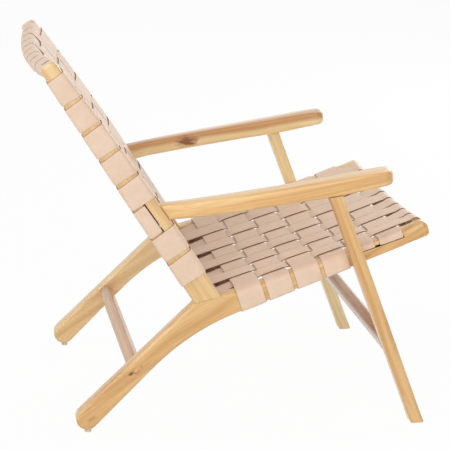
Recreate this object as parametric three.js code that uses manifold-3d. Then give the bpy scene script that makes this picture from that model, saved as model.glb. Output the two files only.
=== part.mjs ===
import * as THREE from 'three';
import { mergeVertices } from 'three/addons/utils/BufferGeometryUtils.js';
import Module from 'manifold-3d';

const wasm = await Module();
wasm.setup();

// Lounge chair: a wooden frame with a seat and a back of woven leather straps.
// Millimetres, +Z up, +X to the front of the chair, +Y to the sitter's left.

// Width of the frame and thickness of its timber
const FRAME_WIDTH = 574;
const RAIL_THICKNESS = 33;
const LEG_THICKNESS = 33;
const EDGE_RADIUS = 5;
const CLEARANCE = 0.3;

// Seat line: the crown of a side rail, from the foot of the back post to the rail's nose
const SEAT_REAR_X = 270.8;
const SEAT_REAR_Z = 284;
const SEAT_ANGLE = 18.1;
const RAIL_LENGTH = 452;
const RAIL_REAR_HEIGHT = 46.9;
const RAIL_NOSE_HEIGHT = 26.6;
const NOSE_RISE = 6;
const NOSE_RISE_LENGTH = 202;
const NOSE_TOP_RADIUS = 16;
const NOSE_LOW_RADIUS = 8;

// Rear leg, one piece with the rail
const HEEL_X = -1.9;
const HEEL_Z = 31;
const HEEL_RADIUS = 23;
const LEG_RAKE_ANGLE = 45.4;
const KNEE_REACH = 105;

// Back post
const BACK_RECLINE_ANGLE = 34.4;
const POST_LENGTH = 593;
const POST_FOOT_DEPTH = 52.4;
const POST_TOP_DEPTH = 33;
const POST_BELLY = 7;
const POST_CORNER = 9;
const JOINT_ANGLE = 13.6;

// Armrest, in its own frame: along the arm from the post, and up from its middle line
const ARM_JOINT_DROP = 4.9;
const ARM_REAR_HEIGHT = 33;
const ARM_ANGLE = 8;
const ARM_LENGTH = 465;
const ARM_TOP_RISE = [[0.33, 15.5], [0.69, 16.8], [0.93, 15.2]];
const ARM_LOW_DROP = 16;
const ARM_FLARE = [0.88, 13];
const ARM_TIP_RISE = 14.5;
const ARM_TIP_DROP = 10;
const ARM_TIP_RADIUS = 11;
const ARM_INNER_SPREAD = [[0.09, 12], [0.33, 21], [0.69, 24], [0.9, 22]];
const ARM_OUTER_SPREAD = [[0.09, 13], [0.33, 28], [0.69, 36.5], [0.9, 39]];
const ARM_TIP_INNER = 20;
const ARM_TIP_OUTER = 39;
const ARM_PLAN_RADIUS = 20;
const ARM_LEG_MARGIN = 10;

// Front leg
const LEG_STRAP_OFFSET = 20.2;
const LEG_LEAN_ANGLE = 21.2;
const LEG_DEPTH = 26.4;
const LEG_CORNER = 3;

// Bars between the sides
const FRONT_STRETCHER_HEIGHT = 171;
const FRONT_STRETCHER_BAR_HEIGHT = 31;
const FRONT_STRETCHER_DEPTH = 26;
const REAR_STRETCHER_DISTANCE = 142;
const REAR_STRETCHER_BAR_HEIGHT = 27;
const REAR_STRETCHER_DEPTH = 26;
const STRETCHER_CORNER = 6;
const TOP_RAIL_DROP = 15.5;
const TOP_RAIL_DEPTH = 30;
const TOP_RAIL_BAR_HEIGHT = 25;
const TOP_RAIL_CORNER = 9;
const TOP_RAIL_BOW = 21;
const SEAT_BAR_RADIUS = 12;
const FRONT_BAR_SETBACK = 16;
const FRONT_BAR_DIP = 16;
const REAR_BAR_SETBACK = 5;
const REAR_BAR_DROP = 18;
const REAR_BAR_DIP = 8;
const LOWER_BAR_HEIGHT = 38;
const LOWER_BAR_DEPTH = 22;
const LOWER_BAR_RADIUS = 13;
const LOWER_BAR_BOW = 8;
const TENON_RADIUS = 7;
const TENON_LENGTH = 18;

// Leather straps
const STRAP_THICKNESS = 3;
const SEAT_CROSS_COUNT = 6;
const SEAT_WRAPPED_COUNT = 4;
const SEAT_CROSS_GAP = 10.2;
const SEAT_REAR_MARGIN = 33;
const SEAT_FRONT_MARGIN = 56;
const BACK_CROSS_COUNT = 8;
const BACK_SLOTTED = 6;
const BACK_CROSS_GAP = 9;
const BACK_FOOT_MARGIN = 64.25;
const BACK_TOP_MARGIN = 29.75;
const LONG_COUNT = 9;
const LONG_GAP = 5.25;
const LONG_SIDE_GAP = 3.5;
const REAR_WRAP_ANGLES = [-60, -265];
const FRONT_WRAP_ANGLES = [100, -120];
const TAIL_LENGTH = 14;
const SLOT_HEIGHT = 4.4;
const SLOT_CORNER = 1.4;
const SEAT_SLOT_MARGIN = 2;
const SEAT_SLOT_DROP = 9.7;
const BACK_SLOT_MARGIN = 7.5;
const BACK_SLOT_DEPTH = 20;

// Fixings
const BOLT_RADIUS = 3;
const BOLT_HEAD_RADIUS = 5.5;
const BOLT_HEAD_HEIGHT = 4;
const BOLT_LIFT = 11;
const BOLT_BITE = 24;
const PLUG_RADIUS = 6;
const PLUG_LENGTH = 8;
const DOWEL_RADIUS = 4;
const DOWEL_BITE = 15;
const POST_DOWEL_SHARE = 0.68;
const GLIDE_RADIUS = 7;
const GLIDE_HEIGHT = 15;

// Fineness of the curves
const EDGE_STEPS = 2;
const CORNER_STEPS = 4;
const BOX_CORNER_STEPS = 3;
const LEG_CORNER_STEPS = 2;
const HEEL_STEPS = 8;
const KNEE_STEPS = 8;
const CROWN_STEPS = 6;
const BELLY_STEPS = 12;
const ARM_CROWN_STEPS = 10;
const ARM_PLAN_STEPS = 14;
const ARM_TIP_STEPS = 6;
const BAR_STEPS = 12;
const ROUND_STEPS = 16;
const WRAP_STEPS = 6;
const WRAP_CORNER_STEPS = 2;
const CUT_ALLOWANCE = 1;
const MERGE_DISTANCE = 1e-4;

// Colours and surface values
const WOOD = { color: 0xd9a568, roughness: 0.55, metalness: 0 };
const LEATHER = { color: 0xe4c6aa, roughness: 0.7, metalness: 0 };
const STEEL = { color: 0x8d8f92, roughness: 0.35, metalness: 1 };
const NYLON = { color: 0xd8d2c6, roughness: 0.6, metalness: 0 };

// Derived sizes
const RAIL_OUTER = FRAME_WIDTH / 2;
const RAIL_INNER = RAIL_OUTER - RAIL_THICKNESS;
const RAIL_MIDDLE = (RAIL_OUTER + RAIL_INNER) / 2;
const STRAP_HALF = STRAP_THICKNESS / 2;
const LIFT = STRAP_HALF + CLEARANCE;
const LEG_INNER = RAIL_OUTER + STRAP_THICKNESS + 2 * CLEARANCE;
const LEG_OUTER = LEG_INNER + LEG_THICKNESS;
const LEG_MIDDLE = (LEG_INNER + LEG_OUTER) / 2;
const FRONT_BAR_S = RAIL_LENGTH - FRONT_BAR_SETBACK;
const REAR_BAR_S = -REAR_BAR_SETBACK;

// Equal straps share the length they cover, with a gap from each to the next
const strapWidth = (length, count, gap) => (length - (count - 1) * gap) / count;
const SEAT_WOVEN_LENGTH = RAIL_LENGTH - SEAT_REAR_MARGIN - SEAT_FRONT_MARGIN;
const SEAT_CROSS_WIDTH = strapWidth(SEAT_WOVEN_LENGTH, SEAT_CROSS_COUNT, SEAT_CROSS_GAP);
const SEAT_CROSS_PITCH = SEAT_CROSS_WIDTH + SEAT_CROSS_GAP;
const BACK_WOVEN_LENGTH = POST_LENGTH - BACK_FOOT_MARGIN - BACK_TOP_MARGIN;
const BACK_CROSS_WIDTH = strapWidth(BACK_WOVEN_LENGTH, BACK_CROSS_COUNT, BACK_CROSS_GAP);
const BACK_CROSS_PITCH = BACK_CROSS_WIDTH + BACK_CROSS_GAP;
const LONG_WIDTH = strapWidth(2 * (RAIL_INNER - LONG_SIDE_GAP), LONG_COUNT, LONG_GAP);
const LONG_PITCH = LONG_WIDTH + LONG_GAP;

// Middle lines of the straps: across the seat from the rear, across the back from the top, and
// lengthwise from the right
const SEAT_CROSS_FIRST = SEAT_REAR_MARGIN + SEAT_CROSS_WIDTH / 2;
const BACK_CROSS_FIRST = POST_LENGTH - BACK_TOP_MARGIN - BACK_CROSS_WIDTH / 2;
const seatCrossMiddle = (i) => SEAT_CROSS_FIRST + (i - 1) * SEAT_CROSS_PITCH;
const backCrossMiddle = (i) => BACK_CROSS_FIRST - (i - 1) * BACK_CROSS_PITCH;
const longMiddle = (j) => (j - (LONG_COUNT + 1) / 2) * LONG_PITCH;
const ARM_JOINT = backCrossMiddle(BACK_SLOTTED) - ARM_JOINT_DROP;

const radians = THREE.MathUtils.degToRad;
const point = (x, y) => new THREE.Vector2(x, y);
const heading = (degrees) => point(Math.cos(radians(degrees)), Math.sin(radians(degrees)));
const along = (start, direction, length) => start.clone().addScaledVector(direction, length);
const leftOf = (direction) => point(-direction.y, direction.x);

// Side view frames: a line's start, its direction and the direction across it
function sideFrame(start, degrees) {
  const direction = heading(degrees);
  const across = leftOf(direction);
  const at = (u, v) => along(along(start, direction, u), across, v);
  return { start, direction, across, at };
}

// Seat frame: s to the front along the rail's crown, h up from it
const seat = sideFrame(point(SEAT_REAR_X, SEAT_REAR_Z), SEAT_ANGLE);

// Back frame: b up along the post's front line, n to the front of it
const backLine = sideFrame(seat.start, 90 + BACK_RECLINE_ANGLE);
const back = (b, n) => backLine.at(b, -n);
const postBelly = (b) => POST_BELLY * 4 * (b / POST_LENGTH) * (1 - b / POST_LENGTH);

// The crown lifts gently towards the nose
function seatRise(s) {
  const t = Math.max(0, s + NOSE_RISE_LENGTH - RAIL_LENGTH) / NOSE_RISE_LENGTH;
  return NOSE_RISE * t ** 2;
}

// Lower edge of the rail, measured down from the seat line
function railHeight(s) {
  return THREE.MathUtils.lerp(RAIL_REAR_HEIGHT, RAIL_NOSE_HEIGHT, s / RAIL_LENGTH);
}

// Joint between rail and post, sloping down to the rear
const jointDirection = heading(180 + JOINT_ANGLE);
const jointLength = POST_FOOT_DEPTH / jointDirection.dot(backLine.across);
const jointRear = along(seat.start, jointDirection, jointLength);
const jointNormal = heading(90 + JOINT_ANGLE);

// Rear edge of the post: straight from the joint to the top
const jointRearB = jointRear.clone().sub(seat.start).dot(backLine.direction);
function postDepth(b) {
  const t = (b - jointRearB) / (POST_LENGTH - jointRearB);
  return THREE.MathUtils.lerp(POST_FOOT_DEPTH, POST_TOP_DEPTH, t);
}

// Hollow of the seat and of the back: deepest in the middle of the chair
const hollow = (y) => 1 - (y / RAIL_INNER) ** 2;
function seatDish(s, y) {
  const t = (s - REAR_BAR_S) / (FRONT_BAR_S - REAR_BAR_S);
  return seatRise(s) - THREE.MathUtils.lerp(REAR_BAR_DIP, FRONT_BAR_DIP, t) * hollow(y);
}
function backDish(b, y) {
  const t = (b - LOWER_BAR_HEIGHT) / (POST_LENGTH - TOP_RAIL_DROP - LOWER_BAR_HEIGHT);
  return postBelly(b) - THREE.MathUtils.lerp(LOWER_BAR_BOW, TOP_RAIL_BOW, t) * hollow(y);
}

// Where two lines cross in the side view
function crossing(startA, directionA, startB, directionB) {
  const between = startB.clone().sub(startA);
  const length = between.cross(directionB) / directionA.cross(directionB);
  return along(startA, directionA, length);
}

// Corner of an outline, rounded with an arc of the given radius
function roundedCorner(before, corner, after, radius, steps) {
  const arriving = before.clone().sub(corner).normalize();
  const leaving = after.clone().sub(corner).normalize();
  const half = Math.acos(THREE.MathUtils.clamp(arriving.dot(leaving), -1, 1)) / 2;
  const centre = along(corner, arriving.clone().add(leaving).normalize(), radius / Math.sin(half));
  const start = along(corner, arriving, radius / Math.tan(half)).sub(centre);
  const turn = (Math.PI - 2 * half) * Math.sign(leaving.cross(arriving));
  return Array.from({ length: steps + 1 }, (_, k) =>
    start.clone().rotateAround(point(0, 0), (turn * k) / steps).add(centre));
}

// Outline with every corner rounded by its own radius
function roundedOutline(corners, radii, steps = CORNER_STEPS) {
  const count = corners.length;
  return corners.flatMap((corner, k) => {
    if (radii[k] === 0) {
      return [corner];
    }
    const before = corners[(k + count - 1) % count];
    const after = corners[(k + 1) % count];
    return roundedCorner(before, corner, after, radii[k], steps);
  });
}

// Box outline in a side view frame
function boxOutline(centre, direction, length, height, radius) {
  const across = leftOf(direction);
  const corner = (u, v) => along(along(centre, direction, (u * length) / 2), across, (v * height) / 2);
  const corners = [corner(-1, -1), corner(1, -1), corner(1, 1), corner(-1, 1)];
  return roundedOutline(corners, corners.map(() => radius), BOX_CORNER_STEPS);
}

// Geometry of a side view outline, as thick as the way from one y to the other
function prism(outline, yLow, yHigh, bevel = 0, steps = 1) {
  const geometry = new THREE.ExtrudeGeometry(new THREE.Shape(outline), {
    depth: yHigh - yLow - 2 * bevel,
    steps,
    bevelEnabled: bevel > 0,
    bevelThickness: bevel,
    bevelSize: bevel,
    bevelOffset: -bevel,
    bevelSegments: EDGE_STEPS,
  });
  geometry.rotateX(Math.PI / 2);
  geometry.translate(0, yHigh - bevel, 0);
  return geometry;
}

// Round rod across the chair
function crossRod(centre, radius, yLow, yHigh) {
  const geometry = new THREE.CylinderGeometry(radius, radius, yHigh - yLow, ROUND_STEPS);
  geometry.translate(centre.x, (yLow + yHigh) / 2, centre.y);
  return geometry;
}

// Round rod in the side view, from one point to the other
function sideRod(start, end, radius, y) {
  const way = end.clone().sub(start);
  const geometry = new THREE.CylinderGeometry(radius, radius, way.length(), ROUND_STEPS);
  geometry.rotateX(Math.PI / 2);
  geometry.rotateY(Math.PI / 2 - way.angle());
  const middle = start.clone().lerp(end, 0.5);
  geometry.translate(middle.x, y, middle.y);
  return geometry;
}

// Bends a bar that lies across the chair, most in its middle
function bowed(geometry, direction, amount) {
  const position = geometry.getAttribute('position');
  for (let k = 0; k < position.count; k += 1) {
    const shift = amount * hollow(position.getY(k));
    position.setX(k, position.getX(k) + direction.x * shift);
    position.setZ(k, position.getZ(k) + direction.y * shift);
  }
  return geometry;
}

// Bare closed mesh with shared corners
function closedMesh(geometry) {
  const bare = new THREE.BufferGeometry();
  bare.setAttribute('position', geometry.getAttribute('position'));
  bare.setIndex(geometry.getIndex());
  return mergeVertices(bare, MERGE_DISTANCE);
}

function toSolid(geometry) {
  const mesh = closedMesh(geometry);
  return new wasm.Manifold(new wasm.Mesh({
    numProp: 3,
    vertProperties: Float32Array.from(mesh.getAttribute('position').array),
    triVerts: Uint32Array.from(mesh.getIndex().array),
  }));
}

function toGeometry(solid) {
  const mesh = solid.getMesh();
  const geometry = new THREE.BufferGeometry();
  geometry.setAttribute('position', new THREE.BufferAttribute(mesh.vertProperties, 3));
  geometry.setIndex(new THREE.BufferAttribute(mesh.triVerts, 1));
  return geometry;
}

// Body with pieces joined on and holes taken out
function shaped(body, { added = [], taken = [] }) {
  const joined = added.reduce((solid, piece) => solid.add(toSolid(piece)), toSolid(body));
  return toGeometry(taken.reduce((solid, piece) => solid.subtract(toSolid(piece)), joined));
}

// The other side of the chair
function mirrored(geometry) {
  const twin = closedMesh(geometry.clone());
  twin.scale(1, -1, 1);
  const index = twin.getIndex();
  for (let k = 0; k < index.count; k += 3) {
    const second = index.getX(k + 1);
    index.setX(k + 1, index.getX(k + 2));
    index.setX(k + 2, second);
  }
  return twin;
}

// Places that several pieces share
const frontBarH = seatRise(FRONT_BAR_S) - SEAT_BAR_RADIUS - LIFT;
const frontBarCentre = seat.at(FRONT_BAR_S, frontBarH);
const rearBarCentre = seat.at(REAR_BAR_S, -REAR_BAR_DROP);
const lowerBarCentre = back(LOWER_BAR_HEIGHT, -LOWER_BAR_DEPTH);
const topRailB = POST_LENGTH - TOP_RAIL_DROP;
const topRailN = -postDepth(topRailB) / 2;
const topRailCentre = back(topRailB, topRailN);
const heel = point(HEEL_X, HEEL_Z);
const rakeDirection = heading(LEG_RAKE_ANGLE);
const rearStretcherCentre = along(heel, rakeDirection, REAR_STRETCHER_DISTANCE);
const legUp = heading(90 + LEG_LEAN_ANGLE);
const legAtSeat = seat.at(seatCrossMiddle(SEAT_WRAPPED_COUNT + 1) - LEG_STRAP_OFFSET, 0);
const legFoot = crossing(legAtSeat, legUp, point(0, 0), point(1, 0));
const frontStretcherCentre = along(legFoot, legUp, FRONT_STRETCHER_HEIGHT / legUp.y);
const barEnd = RAIL_INNER - CLEARANCE;

const mortise = (centre, yFace) =>
  crossRod(centre, TENON_RADIUS + CLEARANCE, yFace - CUT_ALLOWANCE, yFace + TENON_LENGTH + CLEARANCE);

// Arm frame: t along the arm from the post's front face, v up
const armStart = back(ARM_JOINT, postBelly(ARM_JOINT) + CLEARANCE);
const arm = sideFrame(armStart, ARM_ANGLE);
const armEndAt = (v) => crossing(arm.at(0, v), arm.direction, armStart, backLine.direction);
const legTopMiddle = crossing(legFoot, legUp, arm.at(0, -ARM_LOW_DROP), arm.direction);
const legTopT = legTopMiddle.clone().sub(armStart).dot(arm.direction);
const legTopHalf = LEG_DEPTH / 2 / legUp.dot(arm.across) + ARM_LEG_MARGIN;

// Leg bolt: through the strip of rail below the slot, into the leg
const boltS = legAtSeat.clone().sub(seat.start).dot(seat.direction);
const boltCentre = seat.at(boltS, BOLT_LIFT - railHeight(boltS));

// Dowels: post to rail, arm to post, leg to arm
const jointMiddle = along(seat.start, jointDirection, jointLength * POST_DOWEL_SHARE);
const postDowel = [
  along(jointMiddle, backLine.direction, -DOWEL_BITE),
  along(jointMiddle, backLine.direction, DOWEL_BITE),
];
const armDowel = [
  along(armStart, backLine.across, DOWEL_BITE),
  along(armStart, backLine.across, -DOWEL_BITE),
];
const legDowel = [
  along(legTopMiddle, legUp, -DOWEL_BITE),
  along(legTopMiddle, legUp, DOWEL_BITE),
];
const dowel = ([start, end], y) => sideRod(start, end, DOWEL_RADIUS, y);
function dowelHole([start, end], y) {
  const way = end.clone().sub(start).normalize();
  const from = along(start, way, -CLEARANCE);
  return sideRod(from, along(end, way, CLEARANCE), DOWEL_RADIUS + CLEARANCE, y);
}

// Side rail and rear leg in one piece
function sideRail() {
  const nose = (u, v) => seat.at(RAIL_LENGTH - u, v);
  const railLow = seat.at(0, -railHeight(0));
  const railLowDirection = nose(0, -RAIL_NOSE_HEIGHT).sub(railLow).normalize();
  const legLow = along(heel, leftOf(rakeDirection), -HEEL_RADIUS);
  const knee = crossing(legLow, rakeDirection, railLow, railLowDirection);
  const kneeCurve = new THREE.QuadraticBezierCurve(
    along(knee, rakeDirection, -KNEE_REACH), knee, along(knee, railLowDirection, KNEE_REACH));
  const toHeel = heel.clone().sub(jointRear);
  const tangent = toHeel.angle() - Math.asin(HEEL_RADIUS / toHeel.length());
  const heelStart = THREE.MathUtils.radToDeg(tangent) - 90;
  const heelEnd = LEG_RAKE_ANGLE + 270;
  const heelArc = Array.from({ length: HEEL_STEPS + 1 }, (_, k) =>
    along(heel, heading(THREE.MathUtils.lerp(heelStart, heelEnd, k / HEEL_STEPS)), HEEL_RADIUS));
  const crown = Array.from({ length: CROWN_STEPS }, (_, k) => {
    const s = RAIL_LENGTH - (NOSE_RISE_LENGTH * (k + 1)) / CROWN_STEPS;
    return seat.at(s, seatRise(s));
  });
  const noseCorners = roundedOutline(
    [railLow, nose(0, -RAIL_NOSE_HEIGHT), nose(0, NOSE_RISE), crown[0]],
    [0, NOSE_LOW_RADIUS, NOSE_TOP_RADIUS, 0]).slice(1, -1);
  const outline = [
    ...heelArc, ...kneeCurve.getPoints(KNEE_STEPS), ...noseCorners, ...crown, seat.start, jointRear,
  ];
  const slotRear = seatCrossMiddle(SEAT_WRAPPED_COUNT + 1);
  const slotFront = seatCrossMiddle(SEAT_CROSS_COUNT);
  const slotMiddle = seat.at((slotRear + slotFront) / 2, -SEAT_SLOT_DROP);
  const slotLength = slotFront - slotRear + SEAT_CROSS_WIDTH + 2 * SEAT_SLOT_MARGIN;
  const slotOutline = boxOutline(slotMiddle, seat.direction, slotLength, SLOT_HEIGHT, SLOT_CORNER);
  const plugFace = RAIL_OUTER - PLUG_LENGTH - CLEARANCE;
  const throughRail = [RAIL_INNER - CUT_ALLOWANCE, RAIL_OUTER + CUT_ALLOWANCE];
  const glideTop = point(0, GLIDE_HEIGHT + CLEARANCE);
  return shaped(prism(outline, RAIL_INNER, RAIL_OUTER, EDGE_RADIUS), {
    taken: [
      prism(slotOutline, ...throughRail),
      mortise(frontBarCentre, RAIL_INNER),
      mortise(rearBarCentre, RAIL_INNER),
      mortise(rearStretcherCentre, RAIL_INNER),
      crossRod(boltCentre, BOLT_RADIUS + CLEARANCE, ...throughRail),
      crossRod(rearStretcherCentre, PLUG_RADIUS + CLEARANCE, plugFace, RAIL_OUTER + CUT_ALLOWANCE),
      sideRod(point(0, -CUT_ALLOWANCE), glideTop, GLIDE_RADIUS + CLEARANCE, RAIL_MIDDLE),
      dowelHole(postDowel, RAIL_MIDDLE),
    ],
  });
}

// Back post, tapered, with a gently bellied front edge
function backPost() {
  const footFront = along(seat.start, jointNormal, CLEARANCE);
  const footRear = along(jointRear, jointNormal, CLEARANCE);
  const top = roundedOutline(
    [back(0, 0), back(POST_LENGTH, 0), back(POST_LENGTH, -POST_TOP_DEPTH), jointRear],
    [0, POST_CORNER, POST_CORNER, 0]).slice(1, -1);
  const belly = Array.from({ length: BELLY_STEPS - 1 }, (_, k) => {
    const b = ((k + 0.5) / BELLY_STEPS) * POST_LENGTH;
    return back(b, postBelly(b));
  });
  const slotMiddle = back(backCrossMiddle(BACK_SLOTTED), -BACK_SLOT_DEPTH);
  const slotLength = BACK_CROSS_WIDTH + 2 * BACK_SLOT_MARGIN;
  const slotOutline = boxOutline(slotMiddle, backLine.direction, slotLength, SLOT_HEIGHT, SLOT_CORNER);
  return shaped(prism([footFront, ...belly, ...top, footRear], RAIL_INNER, RAIL_OUTER, EDGE_RADIUS), {
    taken: [
      prism(slotOutline, RAIL_INNER - CUT_ALLOWANCE, RAIL_OUTER + CUT_ALLOWANCE),
      mortise(topRailCentre, RAIL_INNER),
      mortise(lowerBarCentre, RAIL_INNER),
      dowelHole(postDowel, RAIL_MIDDLE),
      dowelHole(armDowel, RAIL_MIDDLE),
    ],
  });
}

// Armrest: its side view and its plan, cut out of one block
function armrest() {
  const half = ARM_REAR_HEIGHT / 2;
  const crown = new THREE.SplineCurve([
    armEndAt(half),
    ...ARM_TOP_RISE.map(([share, v]) => arm.at(share * ARM_LENGTH, v)),
  ]);
  const tip = roundedOutline([
    arm.at(0, ARM_TIP_RISE), arm.at(ARM_LENGTH, ARM_TIP_RISE),
    arm.at(ARM_LENGTH, -ARM_TIP_DROP), arm.at(0, -ARM_TIP_DROP),
  ], [0, ARM_TIP_RADIUS, ARM_TIP_RADIUS, 0]).slice(1, -1);
  const [flareShare, flareDrop] = ARM_FLARE;
  const low = [
    arm.at(flareShare * ARM_LENGTH, -flareDrop),
    arm.at(legTopT + legTopHalf, -ARM_LOW_DROP),
    arm.at(legTopT - legTopHalf, -ARM_LOW_DROP),
    armEndAt(-half),
  ];
  const sideView = prism([...crown.getPoints(ARM_CROWN_STEPS), ...tip, ...low], 0, FRAME_WIDTH);
  const reach = arm.at(ARM_LENGTH, 0).x - armStart.x;
  const planEdge = (face, spread) => new THREE.SplineCurve([
    point(back(ARM_JOINT, -POST_FOOT_DEPTH).x, face),
    point(armEndAt(half).x, face),
    ...spread.map(([share, shift]) => point(armStart.x + share * reach, face + shift)),
  ]).getPoints(ARM_PLAN_STEPS);
  const outer = planEdge(RAIL_OUTER, ARM_OUTER_SPREAD);
  const inner = planEdge(RAIL_INNER, ARM_INNER_SPREAD);
  const planTip = (y) => point(armStart.x + reach, y);
  const tipCorners = roundedOutline(
    [outer.at(-1), planTip(RAIL_OUTER + ARM_TIP_OUTER), planTip(RAIL_INNER + ARM_TIP_INNER), inner.at(-1)],
    [0, ARM_PLAN_RADIUS, ARM_PLAN_RADIUS, 0], ARM_TIP_STEPS);
  const planShape = new THREE.Shape([...outer.slice(0, -1), ...tipCorners, ...inner.slice(0, -1).reverse()]);
  const blankHeight = SEAT_REAR_Z + POST_LENGTH;
  const plan = new THREE.ExtrudeGeometry(planShape, { depth: blankHeight, bevelEnabled: false });
  const blank = toGeometry(toSolid(sideView).intersect(toSolid(plan)));
  return shaped(blank, {
    taken: [dowelHole(armDowel, RAIL_MIDDLE), dowelHole(legDowel, LEG_MIDDLE)],
  });
}

// Front leg, leaning to the rear, cut level at the floor and along the arm at the top
function frontLeg() {
  const halfDepth = leftOf(legUp).multiplyScalar(LEG_DEPTH / 2);
  const edgeRear = legFoot.clone().add(halfDepth);
  const edgeFront = legFoot.clone().sub(halfDepth);
  const floor = (start) => crossing(start, legUp, point(0, 0), point(1, 0));
  const underArm = arm.at(0, -ARM_LOW_DROP - CLEARANCE);
  const top = (start) => crossing(start, legUp, underArm, arm.direction);
  const outline = roundedOutline(
    [floor(edgeRear), floor(edgeFront), top(edgeFront), top(edgeRear)],
    [LEG_CORNER, LEG_CORNER, 0, 0], LEG_CORNER_STEPS);
  const boltHole = [LEG_INNER - CUT_ALLOWANCE, LEG_INNER + BOLT_BITE + CLEARANCE];
  return shaped(prism(outline, LEG_INNER, LEG_OUTER, LEG_CORNER), {
    taken: [
      mortise(frontStretcherCentre, LEG_INNER),
      crossRod(boltCentre, BOLT_RADIUS + CLEARANCE, ...boltHole),
      dowelHole(legDowel, LEG_MIDDLE),
    ],
  });
}

// Bar across the chair with a round tenon at each end
function tenonedBar(outline, centre, end, bow = 0, direction = point(0, 0)) {
  const bar = bowed(prism(outline, -end, end, 0, bow === 0 ? 1 : BAR_STEPS), direction, bow);
  return shaped(bar, {
    added: [
      crossRod(centre, TENON_RADIUS, end - CUT_ALLOWANCE, end + TENON_LENGTH),
      crossRod(centre, TENON_RADIUS, -end - TENON_LENGTH, CUT_ALLOWANCE - end),
    ],
  });
}

// Outline of a round bar
function roundOutline(centre, radius) {
  return Array.from({ length: ROUND_STEPS }, (_, k) =>
    along(centre, heading((360 * k) / ROUND_STEPS), radius));
}

// Corners of a strap's way round an arc, on the outside of it
function wrap(centre, radius, fromDegrees, toDegrees, count) {
  const step = (toDegrees - fromDegrees) / count;
  const reach = radius / Math.cos(radians(step / 2));
  return Array.from({ length: count }, (_, k) =>
    along(centre, heading(fromDegrees + (k + 0.5) * step), reach));
}

// Both faces of a strap along its way
function strapFaces(way) {
  const last = way.length - 1;
  return way.map((here, k) => {
    const arriving = here.clone().sub(way[Math.max(k - 1, 0)]);
    const leaving = way[Math.min(k + 1, last)].clone().sub(here);
    const first = leftOf((k === 0 ? leaving : arriving).normalize());
    const second = leftOf((k === last ? arriving : leaving).normalize());
    const mitre = first.clone().add(second).normalize();
    mitre.multiplyScalar(STRAP_HALF / mitre.dot(first));
    return [here.clone().add(mitre), here.clone().sub(mitre)];
  });
}

// Triangles of a closed mesh, turned to face out
function facingOut(corners, index) {
  let volume = 0;
  for (let k = 0; k < index.length; k += 3) {
    const [a, b, c] = index.slice(k, k + 3).map((corner) => corners[corner]);
    volume += b.clone().cross(c).dot(a);
  }
  return volume > 0 ? index : index.reverse();
}

// Strap: the band between two edges, each edge with its own way
function strap(edges, wayAt, place) {
  const rows = edges.map((edge) => strapFaces(wayAt(edge)).map((pair) => pair.map((p) => place(edge, p))));
  const [near, far] = rows;
  const corners = near.flatMap(([top, low], k) => [top, far[k][0], far[k][1], low]);
  const rings = near.length;
  const index = [];
  const quad = (a, b, c, d) => index.push(a, b, c, a, c, d);
  for (let ring = 0; ring < rings - 1; ring += 1) {
    for (let k = 0; k < 4; k += 1) {
      const next = (k + 1) % 4;
      quad(4 * ring + k, 4 * ring + next, 4 * ring + 4 + next, 4 * ring + 4 + k);
    }
  }
  const end = 4 * (rings - 1);
  quad(3, 2, 1, 0);
  quad(end, end + 1, end + 2, end + 3);
  const geometry = new THREE.BufferGeometry().setFromPoints(corners);
  geometry.setIndex(facingOut(corners, index));
  return geometry;
}

const inSeatAcross = (s, p) => new THREE.Vector3(seat.at(s, p.y).x, p.x, seat.at(s, p.y).y);
const inSeatAlong = (y, p) => new THREE.Vector3(seat.at(p.x, p.y).x, y, seat.at(p.x, p.y).y);
const inBackAcross = (b, p) => new THREE.Vector3(back(b, p.y).x, p.x, back(b, p.y).y);
const inBackAlong = (y, p) => new THREE.Vector3(back(p.x, p.y).x, y, back(p.x, p.y).y);

const edgesOf = (middle, width) => [middle - width / 2, middle + width / 2];
const numbers = (count) => Array.from({ length: count }, (_, k) => k + 1);

// Plain weave: a cross strap lies over every second lengthwise strap
const crossLift = (i, j) => ((i + j) % 2 === 0 ? LIFT : -LIFT);

// Way of a cross strap: over the weave, then round the timber at both ends
function crossWay(weave, endWay) {
  const left = endWay;
  const right = endWay.map((p) => point(-p.x, p.y)).reverse();
  return [...right, ...weave, ...left];
}

function crossWeave(i, dishAt) {
  return numbers(LONG_COUNT).flatMap((j) =>
    edgesOf(longMiddle(j), LONG_WIDTH).map((y) => point(y, dishAt(y) + crossLift(i, j))));
}

// Way round a timber's section: over its face, down outside, back below and up inside
function wrappedEnd(face, depth) {
  const round = EDGE_RADIUS + LIFT;
  const outer = RAIL_OUTER - EDGE_RADIUS;
  const inner = RAIL_INNER + EDGE_RADIUS;
  return [
    point(RAIL_INNER + STRAP_THICKNESS, face + LIFT),
    ...wrap(point(outer, face - EDGE_RADIUS), round, 90, 0, WRAP_CORNER_STEPS),
    ...wrap(point(outer, EDGE_RADIUS - depth), round, 0, -90, WRAP_CORNER_STEPS),
    ...wrap(point(inner, EDGE_RADIUS - depth), round, -90, -180, WRAP_CORNER_STEPS),
    point(RAIL_INNER - LIFT, EDGE_RADIUS - depth + TAIL_LENGTH),
  ];
}

// Way of a strap that enters the slot in the rail from outside
function slottedSeatEnd(face) {
  const edge = point(RAIL_OUTER - EDGE_RADIUS, face - EDGE_RADIUS);
  return [
    point(RAIL_INNER + STRAP_THICKNESS, face + LIFT),
    ...wrap(edge, EDGE_RADIUS + LIFT, 90, 0, WRAP_CORNER_STEPS),
    point(RAIL_OUTER + LIFT, -SEAT_SLOT_DROP),
    point(RAIL_INNER - STRAP_THICKNESS, -SEAT_SLOT_DROP),
  ];
}

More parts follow.
